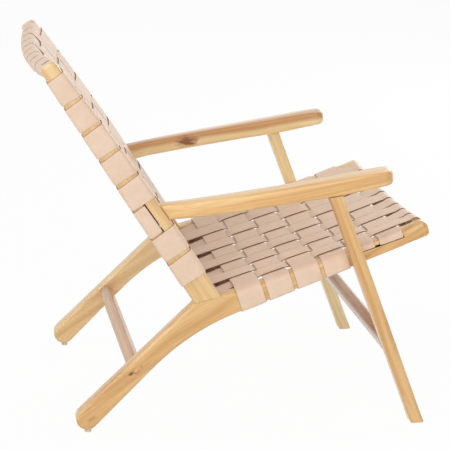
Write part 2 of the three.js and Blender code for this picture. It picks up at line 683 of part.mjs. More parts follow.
// Way of a strap that passes the slot in the post from inside, behind the armrest
function slottedBackEnd(depth) {
  const outer = RAIL_OUTER - EDGE_RADIUS;
  return [
    point(RAIL_INNER - LIFT, -2 * STRAP_THICKNESS),
    point(RAIL_INNER - LIFT, -BACK_SLOT_DEPTH),
    point(RAIL_OUTER + LIFT, -BACK_SLOT_DEPTH),
    ...wrap(point(outer, EDGE_RADIUS - depth), EDGE_RADIUS + LIFT, 0, -90, WRAP_CORNER_STEPS),
    point(RAIL_INNER + EDGE_RADIUS, -depth - LIFT),
  ];
}

function seatCrossStrap(i) {
  const end = (s) => (i > SEAT_WRAPPED_COUNT
    ? slottedSeatEnd(seatRise(s)) : wrappedEnd(seatRise(s), railHeight(s)));
  const way = (s) => crossWay(crossWeave(i, (y) => seatDish(s, y)), end(s));
  return strap(edgesOf(seatCrossMiddle(i), SEAT_CROSS_WIDTH), way, inSeatAcross);
}

function backCrossStrap(i) {
  const end = (b) => (i === BACK_SLOTTED
    ? slottedBackEnd(postDepth(b)) : wrappedEnd(postBelly(b), postDepth(b)));
  const way = (b) => crossWay(crossWeave(i, (y) => backDish(b, y)), end(b));
  return strap(edgesOf(backCrossMiddle(i), BACK_CROSS_WIDTH), way, inBackAcross);
}

// Lengthwise strap of the seat: round the rear bar, through the weave, round the front bar
function seatLongStrap(j) {
  const way = (y) => {
    const rear = point(REAR_BAR_S, -REAR_BAR_DROP - REAR_BAR_DIP * hollow(y));
    const front = point(FRONT_BAR_S, frontBarH - FRONT_BAR_DIP * hollow(y));
    const weave = numbers(SEAT_CROSS_COUNT).flatMap((i) =>
      edgesOf(seatCrossMiddle(i), SEAT_CROSS_WIDTH).map((s) => point(s, seatDish(s, y) - crossLift(i, j))));
    const round = SEAT_BAR_RADIUS + LIFT;
    return [
      ...wrap(rear, round, ...REAR_WRAP_ANGLES, WRAP_STEPS),
      ...weave,
      ...wrap(front, round, ...FRONT_WRAP_ANGLES, WRAP_STEPS),
    ];
  };
  return strap(edgesOf(longMiddle(j), LONG_WIDTH), way, inSeatAlong);
}

// Lengthwise strap of the back: round the lower bar, through the weave, round the top rail
function backLongStrap(j) {
  const way = (y) => {
    const low = point(LOWER_BAR_HEIGHT, -LOWER_BAR_DEPTH - LOWER_BAR_BOW * hollow(y));
    const railN = topRailN - TOP_RAIL_BOW * hollow(y);
    const weave = numbers(BACK_CROSS_COUNT).reverse().flatMap((i) =>
      edgesOf(backCrossMiddle(i), BACK_CROSS_WIDTH).map((b) => point(b, backDish(b, y) - crossLift(i, j))));
    const tall = TOP_RAIL_BAR_HEIGHT / 2 - TOP_RAIL_CORNER;
    const deep = TOP_RAIL_DEPTH / 2 - TOP_RAIL_CORNER;
    const round = TOP_RAIL_CORNER + LIFT;
    return [
      ...wrap(low, LOWER_BAR_RADIUS + LIFT, ...REAR_WRAP_ANGLES, WRAP_STEPS),
      ...weave,
      ...wrap(point(topRailB + tall, railN + deep), round, 90, 0, WRAP_CORNER_STEPS),
      ...wrap(point(topRailB + tall, railN - deep), round, 0, -90, WRAP_CORNER_STEPS),
      ...wrap(point(topRailB - tall, railN - deep), round, -90, -180, WRAP_CORNER_STEPS),
      point(topRailB - tall - round, railN),
    ];
  };
  return strap(edgesOf(longMiddle(j), LONG_WIDTH), way, inBackAlong);
}

// Bolt with its head on the rail's inner face
function legBolt() {
  const headFace = RAIL_INNER - CLEARANCE;
  return shaped(crossRod(boltCentre, BOLT_RADIUS, headFace - CUT_ALLOWANCE, LEG_INNER + BOLT_BITE), {
    added: [crossRod(boltCentre, BOLT_HEAD_RADIUS, headFace - BOLT_HEAD_HEIGHT, headFace)],
  });
}

const chair = new THREE.Group();
chair.name = 'woven_lounge_chair';

function place(name, geometry, look) {
  const mesh = new THREE.Mesh(closedMesh(geometry), new THREE.MeshStandardMaterial(look));
  mesh.geometry.computeVertexNormals();
  mesh.name = name;
  chair.add(mesh);
}

function placePair(name, geometry, look) {
  place(`${name}_left`, geometry, look);
  place(`${name}_right`, mirrored(geometry), look);
}

// Timber
const down = point(-seat.across.x, -seat.across.y);
const stretcherEnd = LEG_INNER - CLEARANCE;
const rearStretcherOutline = boxOutline(
  rearStretcherCentre, rakeDirection, REAR_STRETCHER_BAR_HEIGHT, REAR_STRETCHER_DEPTH, STRETCHER_CORNER);
const frontStretcherOutline = boxOutline(
  frontStretcherCentre, legUp, FRONT_STRETCHER_BAR_HEIGHT, FRONT_STRETCHER_DEPTH, STRETCHER_CORNER);
const topRailOutline = boxOutline(
  topRailCentre, backLine.direction, TOP_RAIL_BAR_HEIGHT, TOP_RAIL_DEPTH, TOP_RAIL_CORNER);
const seatFrontOutline = roundOutline(frontBarCentre, SEAT_BAR_RADIUS);
const seatRearOutline = roundOutline(rearBarCentre, SEAT_BAR_RADIUS);
const backLowerOutline = roundOutline(lowerBarCentre, LOWER_BAR_RADIUS);

placePair('side_rail', sideRail(), WOOD);
placePair('back_post', backPost(), WOOD);
placePair('armrest', armrest(), WOOD);
placePair('front_leg', frontLeg(), WOOD);
place('front_stretcher', tenonedBar(frontStretcherOutline, frontStretcherCentre, stretcherEnd), WOOD);
place('rear_stretcher', tenonedBar(rearStretcherOutline, rearStretcherCentre, barEnd), WOOD);
place('top_rail', tenonedBar(topRailOutline, topRailCentre, barEnd, TOP_RAIL_BOW, backLine.across), WOOD);
place('seat_front_bar', tenonedBar(seatFrontOutline, frontBarCentre, barEnd, FRONT_BAR_DIP, down), WOOD);
place('seat_rear_bar', tenonedBar(seatRearOutline, rearBarCentre, barEnd, REAR_BAR_DIP, down), WOOD);
place('back_lower_bar',
  tenonedBar(backLowerOutline, lowerBarCentre, barEnd, LOWER_BAR_BOW, backLine.across), WOOD);

// Leather
numbers(SEAT_CROSS_COUNT).forEach((i) => place(`seat_cross_strap_${i}`, seatCrossStrap(i), LEATHER));
numbers(LONG_COUNT).forEach((j) => place(`seat_long_strap_${j}`, seatLongStrap(j), LEATHER));
numbers(BACK_CROSS_COUNT).forEach((i) => place(`back_cross_strap_${i}`, backCrossStrap(i), LEATHER));
numbers(LONG_COUNT).forEach((j) => place(`back_long_strap_${j}`, backLongStrap(j), LEATHER));

// Fixings and feet
placePair('leg_bolt', legBolt(), STEEL);
placePair('stretcher_plug',
  crossRod(rearStretcherCentre, PLUG_RADIUS, RAIL_OUTER - PLUG_LENGTH, RAIL_OUTER), WOOD);
placePair('post_dowel', dowel(postDowel, RAIL_MIDDLE), WOOD);
placePair('arm_dowel', dowel(armDowel, RAIL_MIDDLE), WOOD);
placePair('leg_dowel', dowel(legDowel, LEG_MIDDLE), WOOD);
placePair('rear_glide', sideRod(point(0, 0), point(0, GLIDE_HEIGHT), GLIDE_RADIUS, RAIL_MIDDLE), NYLON);

// The chair's middle, front to rear, stands over the origin
const middle = new THREE.Box3().setFromObject(chair).getCenter(new THREE.Vector3());
chair.children.forEach((mesh) => mesh.geometry.translate(-middle.x, 0, 0));

export default chair;
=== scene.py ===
# %% [markdown]
# # A woven leather lounge chair
#
# The chair is a fixed wooden frame with a seat and a back of flat leather straps. The packed
# model is the frame of this scene: each piece made here stands where its solid stands, and rides
# on the chair's one body. Loading comes first, because every other step measures from it.

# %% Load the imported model
import math
from functools import partial

import bpy
import numpy as np
from mathutils import Matrix, Vector
from mathutils.geometry import delaunay_2d_cdt


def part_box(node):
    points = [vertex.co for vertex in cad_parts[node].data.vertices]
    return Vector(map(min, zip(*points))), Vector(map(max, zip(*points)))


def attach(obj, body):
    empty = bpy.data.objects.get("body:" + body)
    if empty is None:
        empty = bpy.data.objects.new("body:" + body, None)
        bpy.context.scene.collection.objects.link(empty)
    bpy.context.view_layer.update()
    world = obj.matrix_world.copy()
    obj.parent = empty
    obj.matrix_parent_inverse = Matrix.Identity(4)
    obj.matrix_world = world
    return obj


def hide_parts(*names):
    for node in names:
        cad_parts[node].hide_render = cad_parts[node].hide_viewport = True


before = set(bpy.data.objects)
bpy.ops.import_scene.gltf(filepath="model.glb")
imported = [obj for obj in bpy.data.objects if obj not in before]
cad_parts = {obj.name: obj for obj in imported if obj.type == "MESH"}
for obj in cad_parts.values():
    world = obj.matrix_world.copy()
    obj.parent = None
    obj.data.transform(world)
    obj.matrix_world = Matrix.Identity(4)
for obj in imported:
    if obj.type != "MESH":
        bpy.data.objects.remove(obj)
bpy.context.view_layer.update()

# %% [markdown]
# ## Drawing sizes
#
# A chair maker draws the side view once and takes every piece from it. The sizes below are that
# drawing, in millimetres, with x = 0 over the rear foot. The seat line runs up to the front along
# the crown of the side rail, and the back line runs up the front edge of the back post, from the
# same point. The rear foot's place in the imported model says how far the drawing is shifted.

# %% The drawing's sizes and its two lines
MM = 0.001
foot_low, foot_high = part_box("rear_glide_left")
REAR_FOOT_X = (foot_low[0] + foot_high[0]) / 2 / MM

RAIL_OUTER, RAIL_INNER = 287.0, 254.0
LEG_INNER, LEG_OUTER = 290.6, 323.6
SEAT_REAR = np.array([270.8, 284.0])
SEAT_ANGLE, BACK_ANGLE = math.radians(18.1), math.radians(124.4)


def in_frame(x, y, z):
    """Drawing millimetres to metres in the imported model: shift x by the rear foot, then scale."""
    return np.stack(np.broadcast_arrays(x + REAR_FOOT_X, y, z), axis=-1) * MM


def heading(angle):
    """Unit vector of the side view at an angle."""
    return np.array([math.cos(angle), math.sin(angle)])


def seat_at(s, h):
    """Side view point s along the seat line and h above it: start + s * direction + h * normal."""
    return (SEAT_REAR[0] + s * math.cos(SEAT_ANGLE) - h * math.sin(SEAT_ANGLE),
            SEAT_REAR[1] + s * math.sin(SEAT_ANGLE) + h * math.cos(SEAT_ANGLE))


def back_at(b, n):
    """Side view point b up the back line and n to the front of it."""
    return (SEAT_REAR[0] + b * math.cos(BACK_ANGLE) + n * math.sin(BACK_ANGLE),
            SEAT_REAR[1] + b * math.sin(BACK_ANGLE) - n * math.cos(BACK_ANGLE))


print("rear foot at", round(REAR_FOOT_X, 2), "mm")

# %% How the timber rises, bellies and tapers
RAIL_LENGTH, RAIL_REAR_HEIGHT, RAIL_NOSE_HEIGHT = 452.0, 46.9, 26.6
NOSE_RISE, NOSE_RISE_LENGTH = 8.0, 202.0
POST_LENGTH, POST_FOOT_DEPTH, POST_TOP_DEPTH, POST_BELLY = 593.0, 52.4, 33.0, 7.0
JOINT_ANGLE = math.radians(13.6)


def between(start, end, share):
    """Start plus a share of the way to the end."""
    return start + (end - start) * share


def seat_rise(s):
    """The rail's crown lifts to its nose: a parabola over the last stretch."""
    return NOSE_RISE * (np.maximum(0, s + NOSE_RISE_LENGTH - RAIL_LENGTH) / NOSE_RISE_LENGTH) ** 2


def rail_height(s):
    """Height of the rail at s, a straight taper."""
    return between(RAIL_REAR_HEIGHT, RAIL_NOSE_HEIGHT, s / RAIL_LENGTH)


def post_belly(b):
    """Belly of the post's front edge: a parabola, highest half way up."""
    return POST_BELLY * 4 * (b / POST_LENGTH) * (1 - b / POST_LENGTH)


joint_way = heading(math.pi + JOINT_ANGLE)
joint_length = POST_FOOT_DEPTH / float(joint_way @ heading(BACK_ANGLE + math.pi / 2))
JOINT_REAR = SEAT_REAR + joint_way * joint_length
JOINT_REAR_B = float((JOINT_REAR - SEAT_REAR) @ heading(BACK_ANGLE))


def post_depth(b):
    """Depth of the post at b, a straight taper from the joint to the top."""
    return between(POST_FOOT_DEPTH, POST_TOP_DEPTH, (b - JOINT_REAR_B) / (POST_LENGTH - JOINT_REAR_B))


print("the joint of post and rail ends at", JOINT_REAR.round(1))

# %% [markdown]
# ## Camera
#
# The chair is seen from its right side, a little from behind and above, with a long lens. The
# place, turn, dip and roll come from fitting straight lines of the chair. The camera's matrix is
# made from its own right, up and backward directions, which is plainer than turning angles.

# %% Camera
CAMERA_PLACE = (-322.0, -3472.3, 1320.5)
TURN, DIP, ROLL = (math.radians(angle) for angle in (10.64, 15.28, 0.99))
LENS_MM, SENSOR_MM = 133.75, 36.0


def add_object(name, data):
    """An object of the scene that holds a mesh, a camera or a lamp."""
    thing = bpy.data.objects.new(name, data)
    bpy.context.collection.objects.link(thing)
    return thing


def turn_to(thing, right, up, back, place):
    """Puts a camera or a lamp in its place, with its own three directions as the matrix's columns."""
    axes = np.eye(4)
    axes[:3] = np.stack([right, up, back, place], axis=1)
    thing.matrix_world = Matrix(axes.tolist())


forward = np.array([math.sin(TURN) * math.cos(DIP), math.cos(TURN) * math.cos(DIP), -math.sin(DIP)])
level_right = np.array([math.cos(TURN), -math.sin(TURN), 0.0])
level_up = np.cross(level_right, forward)
rolled_right = math.cos(ROLL) * level_right + math.sin(ROLL) * level_up
camera_data = bpy.data.cameras.new("camera")
camera_data.lens, camera_data.sensor_width = LENS_MM, SENSOR_MM
camera = add_object("camera", camera_data)
turn_to(camera, rolled_right, np.cross(rolled_right, forward), -forward, in_frame(*CAMERA_PLACE))
bpy.context.scene.camera = camera
bpy.context.scene.view_settings.view_transform = "Standard"
print("camera at", [round(v, 3) for v in camera.location], "lens", LENS_MM)

# %% [markdown]
# ## Mesh helpers
#
# All pieces are skins: a grid of points, worked out as one array, whose columns close round and
# whose first and last row are filled. One helper turns such a grid into a mesh and another hangs
# it on the chair's body. Faces are turned outwards by the sign of the enclosed volume, so a
# shape may be drawn in either direction.


# %% From a grid of points to a mesh
def grid_quads(rows, columns):
    """Corners of the quads of a grid whose columns close round."""
    row, column = np.meshgrid(np.arange(rows - 1), np.arange(columns), indexing="ij")
    following = (column + 1) % columns
    corners = [row * columns + column, row * columns + following,
               (row + 1) * columns + following, (row + 1) * columns + column]
    return np.stack(corners, axis=-1).reshape(-1, 4)


def enclosed_volume(points, faces):
    """Six times the volume inside faces: the sum of the triple products of each face's fan."""
    first = points[faces[:, 0]]
    fans = [np.einsum("ij,ij->i", first, np.cross(points[faces[:, k]], points[faces[:, k + 1]])).sum()
            for k in range(1, faces.shape[1] - 1)]
    return sum(fans)


def mesh_of(name, points, face_sets, sharp):
    """A mesh from points and arrays of faces, turned outwards and shaded smooth below a sharp angle."""
    if sum(enclosed_volume(points, faces) for faces in face_sets) < 0:
        face_sets = [faces[:, ::-1] for faces in face_sets]
    corners = np.concatenate([faces.ravel() for faces in face_sets])
    sizes = np.concatenate([np.full(len(faces), faces.shape[1]) for faces in face_sets])
    mesh = bpy.data.meshes.new(name)
    mesh.vertices.add(len(points))
    mesh.vertices.foreach_set("co", points.ravel())
    mesh.loops.add(len(corners))
    mesh.loops.foreach_set("vertex_index", corners)
    mesh.polygons.add(len(sizes))
    mesh.polygons.foreach_set("loop_start", np.cumsum(sizes) - sizes)
    mesh.update(calc_edges=True)
    mesh.polygons.foreach_set("use_smooth", np.ones(len(sizes), dtype=bool))
    mesh.set_sharp_from_angle(angle=math.radians(sharp))
    return mesh


def skin(name, grid, sharp=60.0):
    """A closed skin over a grid of points, its first and last row filled with one face each."""
    rows, columns = grid.shape[:2]
    ends = np.stack([np.arange(columns)[::-1], np.arange(columns) + (rows - 1) * columns])
    return mesh_of(name, grid.reshape(-1, 3), [grid_quads(rows, columns), ends], sharp)


print("quads of a grid of 3 rows and 4 columns:", len(grid_quads(3, 4)))


# %% From a mesh to a piece
def add_piece(mesh, material, slot, *nodes):
    """Puts a mesh into the scene as a piece that stands for CAD nodes and rides on the chair."""
    mesh.materials.append(material)
    piece = add_object(mesh.name, mesh)
    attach(piece, "root")
    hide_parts(*nodes)


def mark(mesh, name, vectors):
    """Stores one vector for each point of a mesh, for a material to read."""
    layer = mesh.attributes.new(name, "FLOAT_VECTOR", "POINT")
    layer.data.foreach_set("vector", np.ascontiguousarray(vectors, dtype=np.float32).ravel())


# %% [markdown]
# ## Oiled wood
#
# The timber is a pale, honey coloured wood with long brown streaks. Real figure is the cut
# through growth rings, so the pattern is made in three dimensions, stretched along the grain.
# Each piece stores its points turned into the grain's own directions, which lets one node group
# serve rails, posts and bars. The group gives a colour, a roughness and a height, a second group
# lays a knot over that colour, and the sheen of the oil is a thin coat on the shader itself.


# %% New nodes, groups and materials
def feed(node, inputs):
    """Sets each input of a node to a value, or links it to a socket."""
    for name, value in inputs.items():
        if isinstance(value, bpy.types.NodeSocket):
            node.id_data.links.new(value, node.inputs[name])
        else:
            node.inputs[name].default_value = value


def outputs_of(tree, kind, inputs, **settings):
    """The outputs of a new shader node with its settings and inputs."""
    node = tree.nodes.new(kind)
    for name, value in settings.items():
        setattr(node, name, value)
    feed(node, inputs)
    return node.outputs


def new_group(name, inputs, outputs):
    """A shader node group with named sockets, listed by kind: the group, its inputs and its end node."""
    group = bpy.data.node_groups.new(name, "ShaderNodeTree")
    for way, kinds in (("INPUT", inputs), ("OUTPUT", outputs)):
        for kind, labels in kinds.items():
            for label in labels:
                group.interface.new_socket(label, in_out=way, socket_type=f"NodeSocket{kind}")
    start = group.nodes.new("NodeGroupInput")
    return group, start.outputs, group.nodes.new("NodeGroupOutput")


def new_material(name):
    """A material with nodes, its node tree and its shader."""
    material = bpy.data.materials.new(name)
    material.use_nodes = True
    return material, material.node_tree, material.node_tree.nodes["Principled BSDF"]


print("node groups so far:", len(bpy.data.node_groups))


# %% Sums, noise and mixing in nodes
def maths(operation, first, second=0.0):
    """One Math node, whose first value is a socket."""
    return outputs_of(first.id_data, "ShaderNodeMath", {0: first, 1: second}, operation=operation)[0]


def vector_maths(operation, first, second=(0.0, 0.0, 0.0), output="Vector"):
    """One Vector Math node, whose first vector is a socket."""
    values = {0: first, 1: second}
    return outputs_of(first.id_data, "ShaderNodeVectorMath", values, operation=operation)[output]


plus, minus, times = (partial(maths, kind) for kind in ("ADD", "SUBTRACT", "MULTIPLY"))
scaled = partial(vector_maths, "MULTIPLY")
length_of = partial(vector_maths, "LENGTH", output="Value")


def noise(vector, scales, detail=2.0, roughness=0.5):
    """Noise of a vector that is first multiplied by three scales, its waves in a metre along each axis."""
    values = {"Vector": scaled(vector, scales), "Scale": 1.0, "Detail": detail, "Roughness": roughness}
    return outputs_of(vector.id_data, "ShaderNodeTexNoise", values)["Fac"]


def remap(value, low, high, to_low=0.0, to_high=1.0):
    """A value taken from one range to another, smoothly, and held at the ends."""
    values = {"Value": value, "From Min": low, "From Max": high, "To Min": to_low, "To Max": to_high}
    return outputs_of(value.id_data, "ShaderNodeMapRange", values, interpolation_type="SMOOTHSTEP")[0]


def blended(share, first, second):
    """The first colour mixed with a share of the second."""
    return outputs_of(share.id_data, "ShaderNodeMix", {0: share, 6: first, 7: second}, data_type="RGBA")[2]


print("sums in nodes:", plus.args, minus.args, times.args)

# %% The node group of the wood's figure
PORE = (0.36, 0.2, 0.09, 1.0)
wood_figure, wood_in, wood_out = new_group(
    "wood_figure",
    {"Vector": ["Grain"], "Color": ["Pale", "Honey", "Streak", "Heart"], "Float": ["Heart Reach"]},
    {"Color": ["Color"], "Float": ["Roughness", "Height"]})
grain = wood_in["Grain"]
sway = noise(grain, (1.6, 7.0, 7.0), 1.0)
ripple = noise(grain, (7.0, 45.0, 45.0))
drift = plus(times(minus(sway, 0.5), 0.05), times(minus(ripple, 0.5), 0.007))
drift_way = outputs_of(wood_figure, "ShaderNodeCombineXYZ", {"Y": drift, "Z": drift})[0]
swayed = vector_maths("ADD", grain, drift_way)
broad = noise(swayed, (1.5, 26.0, 26.0))
streaks = noise(swayed, (3.0, 170.0, 170.0), 4.0, 0.6)
pores = noise(swayed, (45.0, 1100.0, 1100.0), 1.0)
bands = noise(swayed, (2.4, 62.0, 62.0), 3.0, 0.55)


def growth_rings(scale, profile):
    """Rings round the pith, which runs along x: a wave of the distance from it."""
    values = {"Vector": swayed, "Scale": scale, "Distortion": 0.0}
    return outputs_of(wood_figure, "ShaderNodeTexWave", values, wave_type="RINGS", rings_direction="X",
                      wave_profile=profile)["Fac"]


honey_share = plus(times(remap(broad, 0.36, 0.64), 0.7), times(growth_rings(64.0, "SIN"), 0.3))
body = blended(honey_share, wood_in["Pale"], wood_in["Honey"])
banded = blended(remap(bands, 0.42, 0.7, 0.0, 0.5), body, wood_in["Streak"])
late_wood = times(remap(growth_rings(24.0, "SAW"), 0.5, 1.0), remap(broad, 0.36, 0.62, 0.15, 1.0))
ringed = blended(times(late_wood, 0.32), banded, wood_in["Streak"])
streaked = blended(remap(streaks, 0.5, 0.74, 0.0, 0.42), ringed, wood_in["Streak"])
from_pith = length_of(scaled(swayed, (0.0, 1.0, 1.0)))
heart_edge = minus(wood_in["Heart Reach"], from_pith)
hearted = blended(remap(heart_edge, -0.006, 0.005, 0.0, 0.8), streaked, wood_in["Heart"])
pored = blended(remap(pores, 0.6, 0.75, 0.0, 0.2), hearted, PORE)
feed(wood_out, {"Color": pored, "Roughness": remap(streaks, 0.3, 0.7, 0.33, 0.46),
                "Height": minus(times(streaks, 0.5), times(pores, 0.5))})
print("wood figure:", len(wood_figure.nodes), "nodes")

# %% The node group of a knot
wood_knot, knot_in, knot_out = new_group(
    "wood_knot",
    {"Color": ["Color", "Dark"], "Vector": ["Grain", "Middle"], "Float": ["Radius"]},
    {"Color": ["Color"]})
from_middle = scaled(vector_maths("SUBTRACT", knot_in["Grain"], knot_in["Middle"]), (0.5, 1.0, 1.0))
wobble = noise(knot_in["Grain"], (60.0, 160.0, 160.0))
knot_reach = maths("DIVIDE", length_of(from_middle), knot_in["Radius"])
knot_edge = plus(knot_reach, times(minus(wobble, 0.5), 1.1))
knot_lines = times(maths("SINE", times(knot_edge, 9.0)), 0.25)
knot_share = times(remap(knot_edge, 1.0, 0.3, 0.0, 0.8), plus(knot_lines, 1.3))
feed(knot_out, {"Color": blended(knot_share, knot_in["Color"], knot_in["Dark"])})
print("knot:", len(wood_knot.nodes), "nodes")


# %% The wood materials
def colour(red, green, blue):
    """A colour given in screen values from 0 to 255, as the linear colour that a shader takes."""
    screen = np.array([red, green, blue]) / 255
    linear = np.where(screen <= 0.04045, screen / 12.92, ((screen + 0.055) / 1.055) ** 2.4)
    return (*linear.tolist(), 1.0)


def tones(*screen_values):
    """The four tones of a wood, from the palest to the heart."""
    return {label: colour(*tone) for label, tone in zip(("Pale", "Honey", "Streak", "Heart"), screen_values)}


HONEY_TONES = tones((234, 194, 134), (222, 174, 108), (190, 130, 66), (184, 120, 62))
PALE_TONES = tones((251, 230, 180), (246, 220, 163), (222, 182, 122), (190, 120, 44))
CREAM_TONES = tones((241, 211, 157), (233, 197, 140), (206, 158, 98), (196, 144, 88))
POST_TONES = tones((238, 204, 148), (228, 188, 128), (198, 146, 84), (190, 134, 76))
ARM_TONES = tones((240, 201, 140), (230, 182, 116), (200, 142, 76), (194, 136, 78))
STRETCHER_TONES = tones((222, 184, 138), (206, 162, 114), (172, 122, 78), (164, 114, 72))
# The brown tones are painted shade: the front stretcher is darkened for the shadow of the seat above it.
BROWN_SHADE_TONES = tones((200, 156, 112), (182, 136, 94), (150, 104, 68), (142, 96, 62))
# The shade tones are painted shade: the dark walls inside slots, where little light reaches.
SHADE_TONES = tones((124, 78, 40), (106, 64, 30), (82, 48, 22), (72, 42, 20))


def wood_material(name, wood_tones, heart_reach=0.0, knots=(), oil=0.75):
    """Oiled wood that reads a piece's own grain directions, with knots at places in the grain's space."""
    material, tree, shader = new_material(name)
    place = outputs_of(tree, "ShaderNodeAttribute", {}, attribute_name="grain")["Vector"]
    values = {"Grain": place, "Heart Reach": heart_reach, **wood_tones}
    figure = outputs_of(tree, "ShaderNodeGroup", values, node_tree=wood_figure)
    shown = figure["Color"]
    for middle, radius, dark in knots:
        values = {"Color": shown, "Grain": place, "Middle": middle, "Radius": radius, "Dark": dark}
        shown = outputs_of(tree, "ShaderNodeGroup", values, node_tree=wood_knot)["Color"]
    relief = {"Strength": 0.12, "Distance": 0.001, "Height": figure["Height"]}
    feed(shader, {"Base Color": shown, "Roughness": figure["Roughness"],
                  "Normal": outputs_of(tree, "ShaderNodeBump", relief)["Normal"],
                  "Specular IOR Level": 0.35 if oil else 0.0, "Coat Weight": oil, "Coat Roughness": 0.2})
    return material


wood = wood_material("oiled_wood", HONEY_TONES)
pale_wood = wood_material("pale_wood", PALE_TONES)
post_wood = wood_material("post_wood", POST_TONES)
# The slot wood is painted shade: dark and without oil, for the shadowed walls of slots.
slot_wood = wood_material("slot_wood", SHADE_TONES, oil=0.0)
print("wood tones:", list(HONEY_TONES))


# %% A piece's own grain
def unit(vectors):
    """Vectors scaled to length 1."""
    return vectors / np.linalg.norm(vectors, axis=-1, keepdims=True)


def mark_grain(mesh, along, seed, pith=None):
    """Stores each point in the grain's directions, in metres, measured from the pith of the tree, and gives
    the function that does so, for knots. Without a given pith, a seeded one lies 40 to 110 mm away."""
    random = np.random.default_rng(seed)
    reach, turn, start = random.uniform(0.04, 0.11), random.uniform(0, 2 * math.pi), random.uniform(-3, 3)
    away = np.array(pith or [start, reach * math.cos(turn), reach * math.sin(turn)])
    along = unit(np.asarray(along, dtype=float))
    side = np.array([0.0, 1.0, 0.0]) if abs(along[1]) < 0.9 else np.array([1.0, 0.0, 0.0])
    side = unit(side - along * (side @ along))
    axes = np.stack([along, side, np.cross(along, side)])
    points = np.empty(len(mesh.vertices) * 3, dtype=np.float32)
    mesh.vertices.foreach_get("co", points)
    points = points.reshape(-1, 3)
    middle = (points.min(axis=0) + points.max(axis=0)) / 2

    def to_grain(place):
        """A place turned into the grain's directions and measured from the pith."""
        return (place - middle) @ axes.T + away

    mark(mesh, "grain", to_grain(points))
    return to_grain


def knots_in(to_grain, knots):
    """Knots of place, radius and tone, taken from drawing millimetres into a piece's grain."""
    return [(to_grain(in_frame(*place)), radius * MM, tone) for place, radius, tone in knots]


print("length of a unit vector:", np.linalg.norm(unit(np.array([3.0, 4.0, 0.0]))))

# %% [markdown]
# ## Natural leather
#
# The straps are pinkish beige leather with a soft sheen and raw cut edges, which are browner than
# the face. A strap could carry a picture of leather, but noise in the strap's own length and width
# gives a grain that follows each bend and never repeats. A third number stored on the points is 1
# on the cut edges and 0 on the faces, and tints the edges. A weak, rough coat gives the sheen.

# %% The node group and material of the leather
leather_grain, leather_in, leather_out = new_group(
    "leather_grain",
    {"Vector": ["Strap"], "Color": ["Face", "Shade", "Edge"]},
    {"Color": ["Color"], "Float": ["Roughness", "Height"]})
lengthwise, crosswise, cut = outputs_of(leather_grain, "ShaderNodeSeparateXYZ", {0: leather_in["Strap"]})
on_strap = outputs_of(leather_grain, "ShaderNodeCombineXYZ", {"X": lengthwise, "Y": crosswise})[0]
clouds = noise(on_strap, (14.0, 26.0, 1.0), 3.0, 0.6)
fibres = noise(on_strap, (130.0, 170.0, 1.0), 3.0, 0.65)
pebble_values = {"Vector": scaled(on_strap, (620.0, 620.0, 1.0)), "Scale": 1.0}
pebbles = outputs_of(leather_grain, "ShaderNodeTexVoronoi", pebble_values)["Distance"]
shade_share = plus(times(remap(clouds, 0.3, 0.7), 0.6), times(remap(fibres, 0.35, 0.75), 0.4))
face = blended(shade_share, leather_in["Face"], leather_in["Shade"])
feed(leather_out, {"Color": blended(cut, face, leather_in["Edge"]),
                   "Roughness": remap(fibres, 0.3, 0.7, 0.54, 0.66),
                   "Height": plus(times(pebbles, 0.5), times(fibres, 0.6))})

leather, tree, shader = new_material("natural_leather")
strap_place = outputs_of(tree, "ShaderNodeAttribute", {}, attribute_name="strap")["Vector"]
leather_values = {"Strap": strap_place, "Face": colour(234, 206, 182), "Shade": colour(226, 196, 170),
                  "Edge": colour(136, 92, 62)}
hide = outputs_of(tree, "ShaderNodeGroup", leather_values, node_tree=leather_grain)
hide_relief = {"Strength": 0.09, "Distance": 0.0006, "Height": hide["Height"]}
feed(shader, {"Base Color": hide["Color"], "Roughness": hide["Roughness"],
              "Normal": outputs_of(tree, "ShaderNodeBump", hide_relief)["Normal"],
              "Specular IOR Level": 0.4, "Coat Weight": 0.4, "Coat Roughness": 0.22, "Coat IOR": 1.3})
print("leather grain:", len(leather_grain.nodes), "nodes")

# %% [markdown]
# ## Boards with rounded edges
#
# Rails, posts and legs are sawn from board: an outline in the side view, a thickness, and edges
# eased with a cutter or by sanding. A bevel modifier would give one radius everywhere, but here
# the crown under the straps is nearly half round while a joint stays crisp. So a board is a stack
# of rings: each ring is the outline moved inwards, by an amount that follows a quarter circle of
# that place's own radius. The flat sides are filled with triangles that leave room for slots.

# %% Outlines
OUTLINE_SPACING = 3.0


def travelled(points):
    """Length travelled up to each point of a broken line."""
    return np.concatenate([[0.0], np.cumsum(np.linalg.norm(np.diff(points, axis=0), axis=1))])


def resampled(points):
    """Points along a broken line, evenly spaced, with the first kept and the last left off."""
    lengths = travelled(points)
    count = max(2, int(math.ceil(lengths[-1] / OUTLINE_SPACING)))
    wanted = np.linspace(0, lengths[-1], count, endpoint=False)
    return np.stack([np.interp(wanted, lengths, points[:, axis]) for axis in range(2)], axis=1)


def outline_of(segments, smoothing=9):
    """A closed outline from (points, edge radius) stretches. Near a change of radius the smaller one is
    kept, and the larger one is reached over some points, as a running mean."""
    points = [resampled(np.asarray(stretch, dtype=float)) for stretch, _ in segments]
    radius = np.concatenate([np.full(len(p), value) for p, (_, value) in zip(points, segments)])
    shifts = np.arange(smoothing) - smoothing // 2
    least = np.min([np.roll(radius, shift) for shift in shifts], axis=0)
    return np.concatenate(points), np.mean([np.roll(least, shift) for shift in shifts], axis=0)


def left_of(vectors):
    """Vectors of the side view turned a quarter to the left."""
    return np.stack([-vectors[..., 1], vectors[..., 0]], axis=-1)


def spanned(first, second):
    """Area that two vectors of the side view span, positive if the second lies left of the first."""
    return first[..., 0] * second[..., 1] - first[..., 1] * second[..., 0]


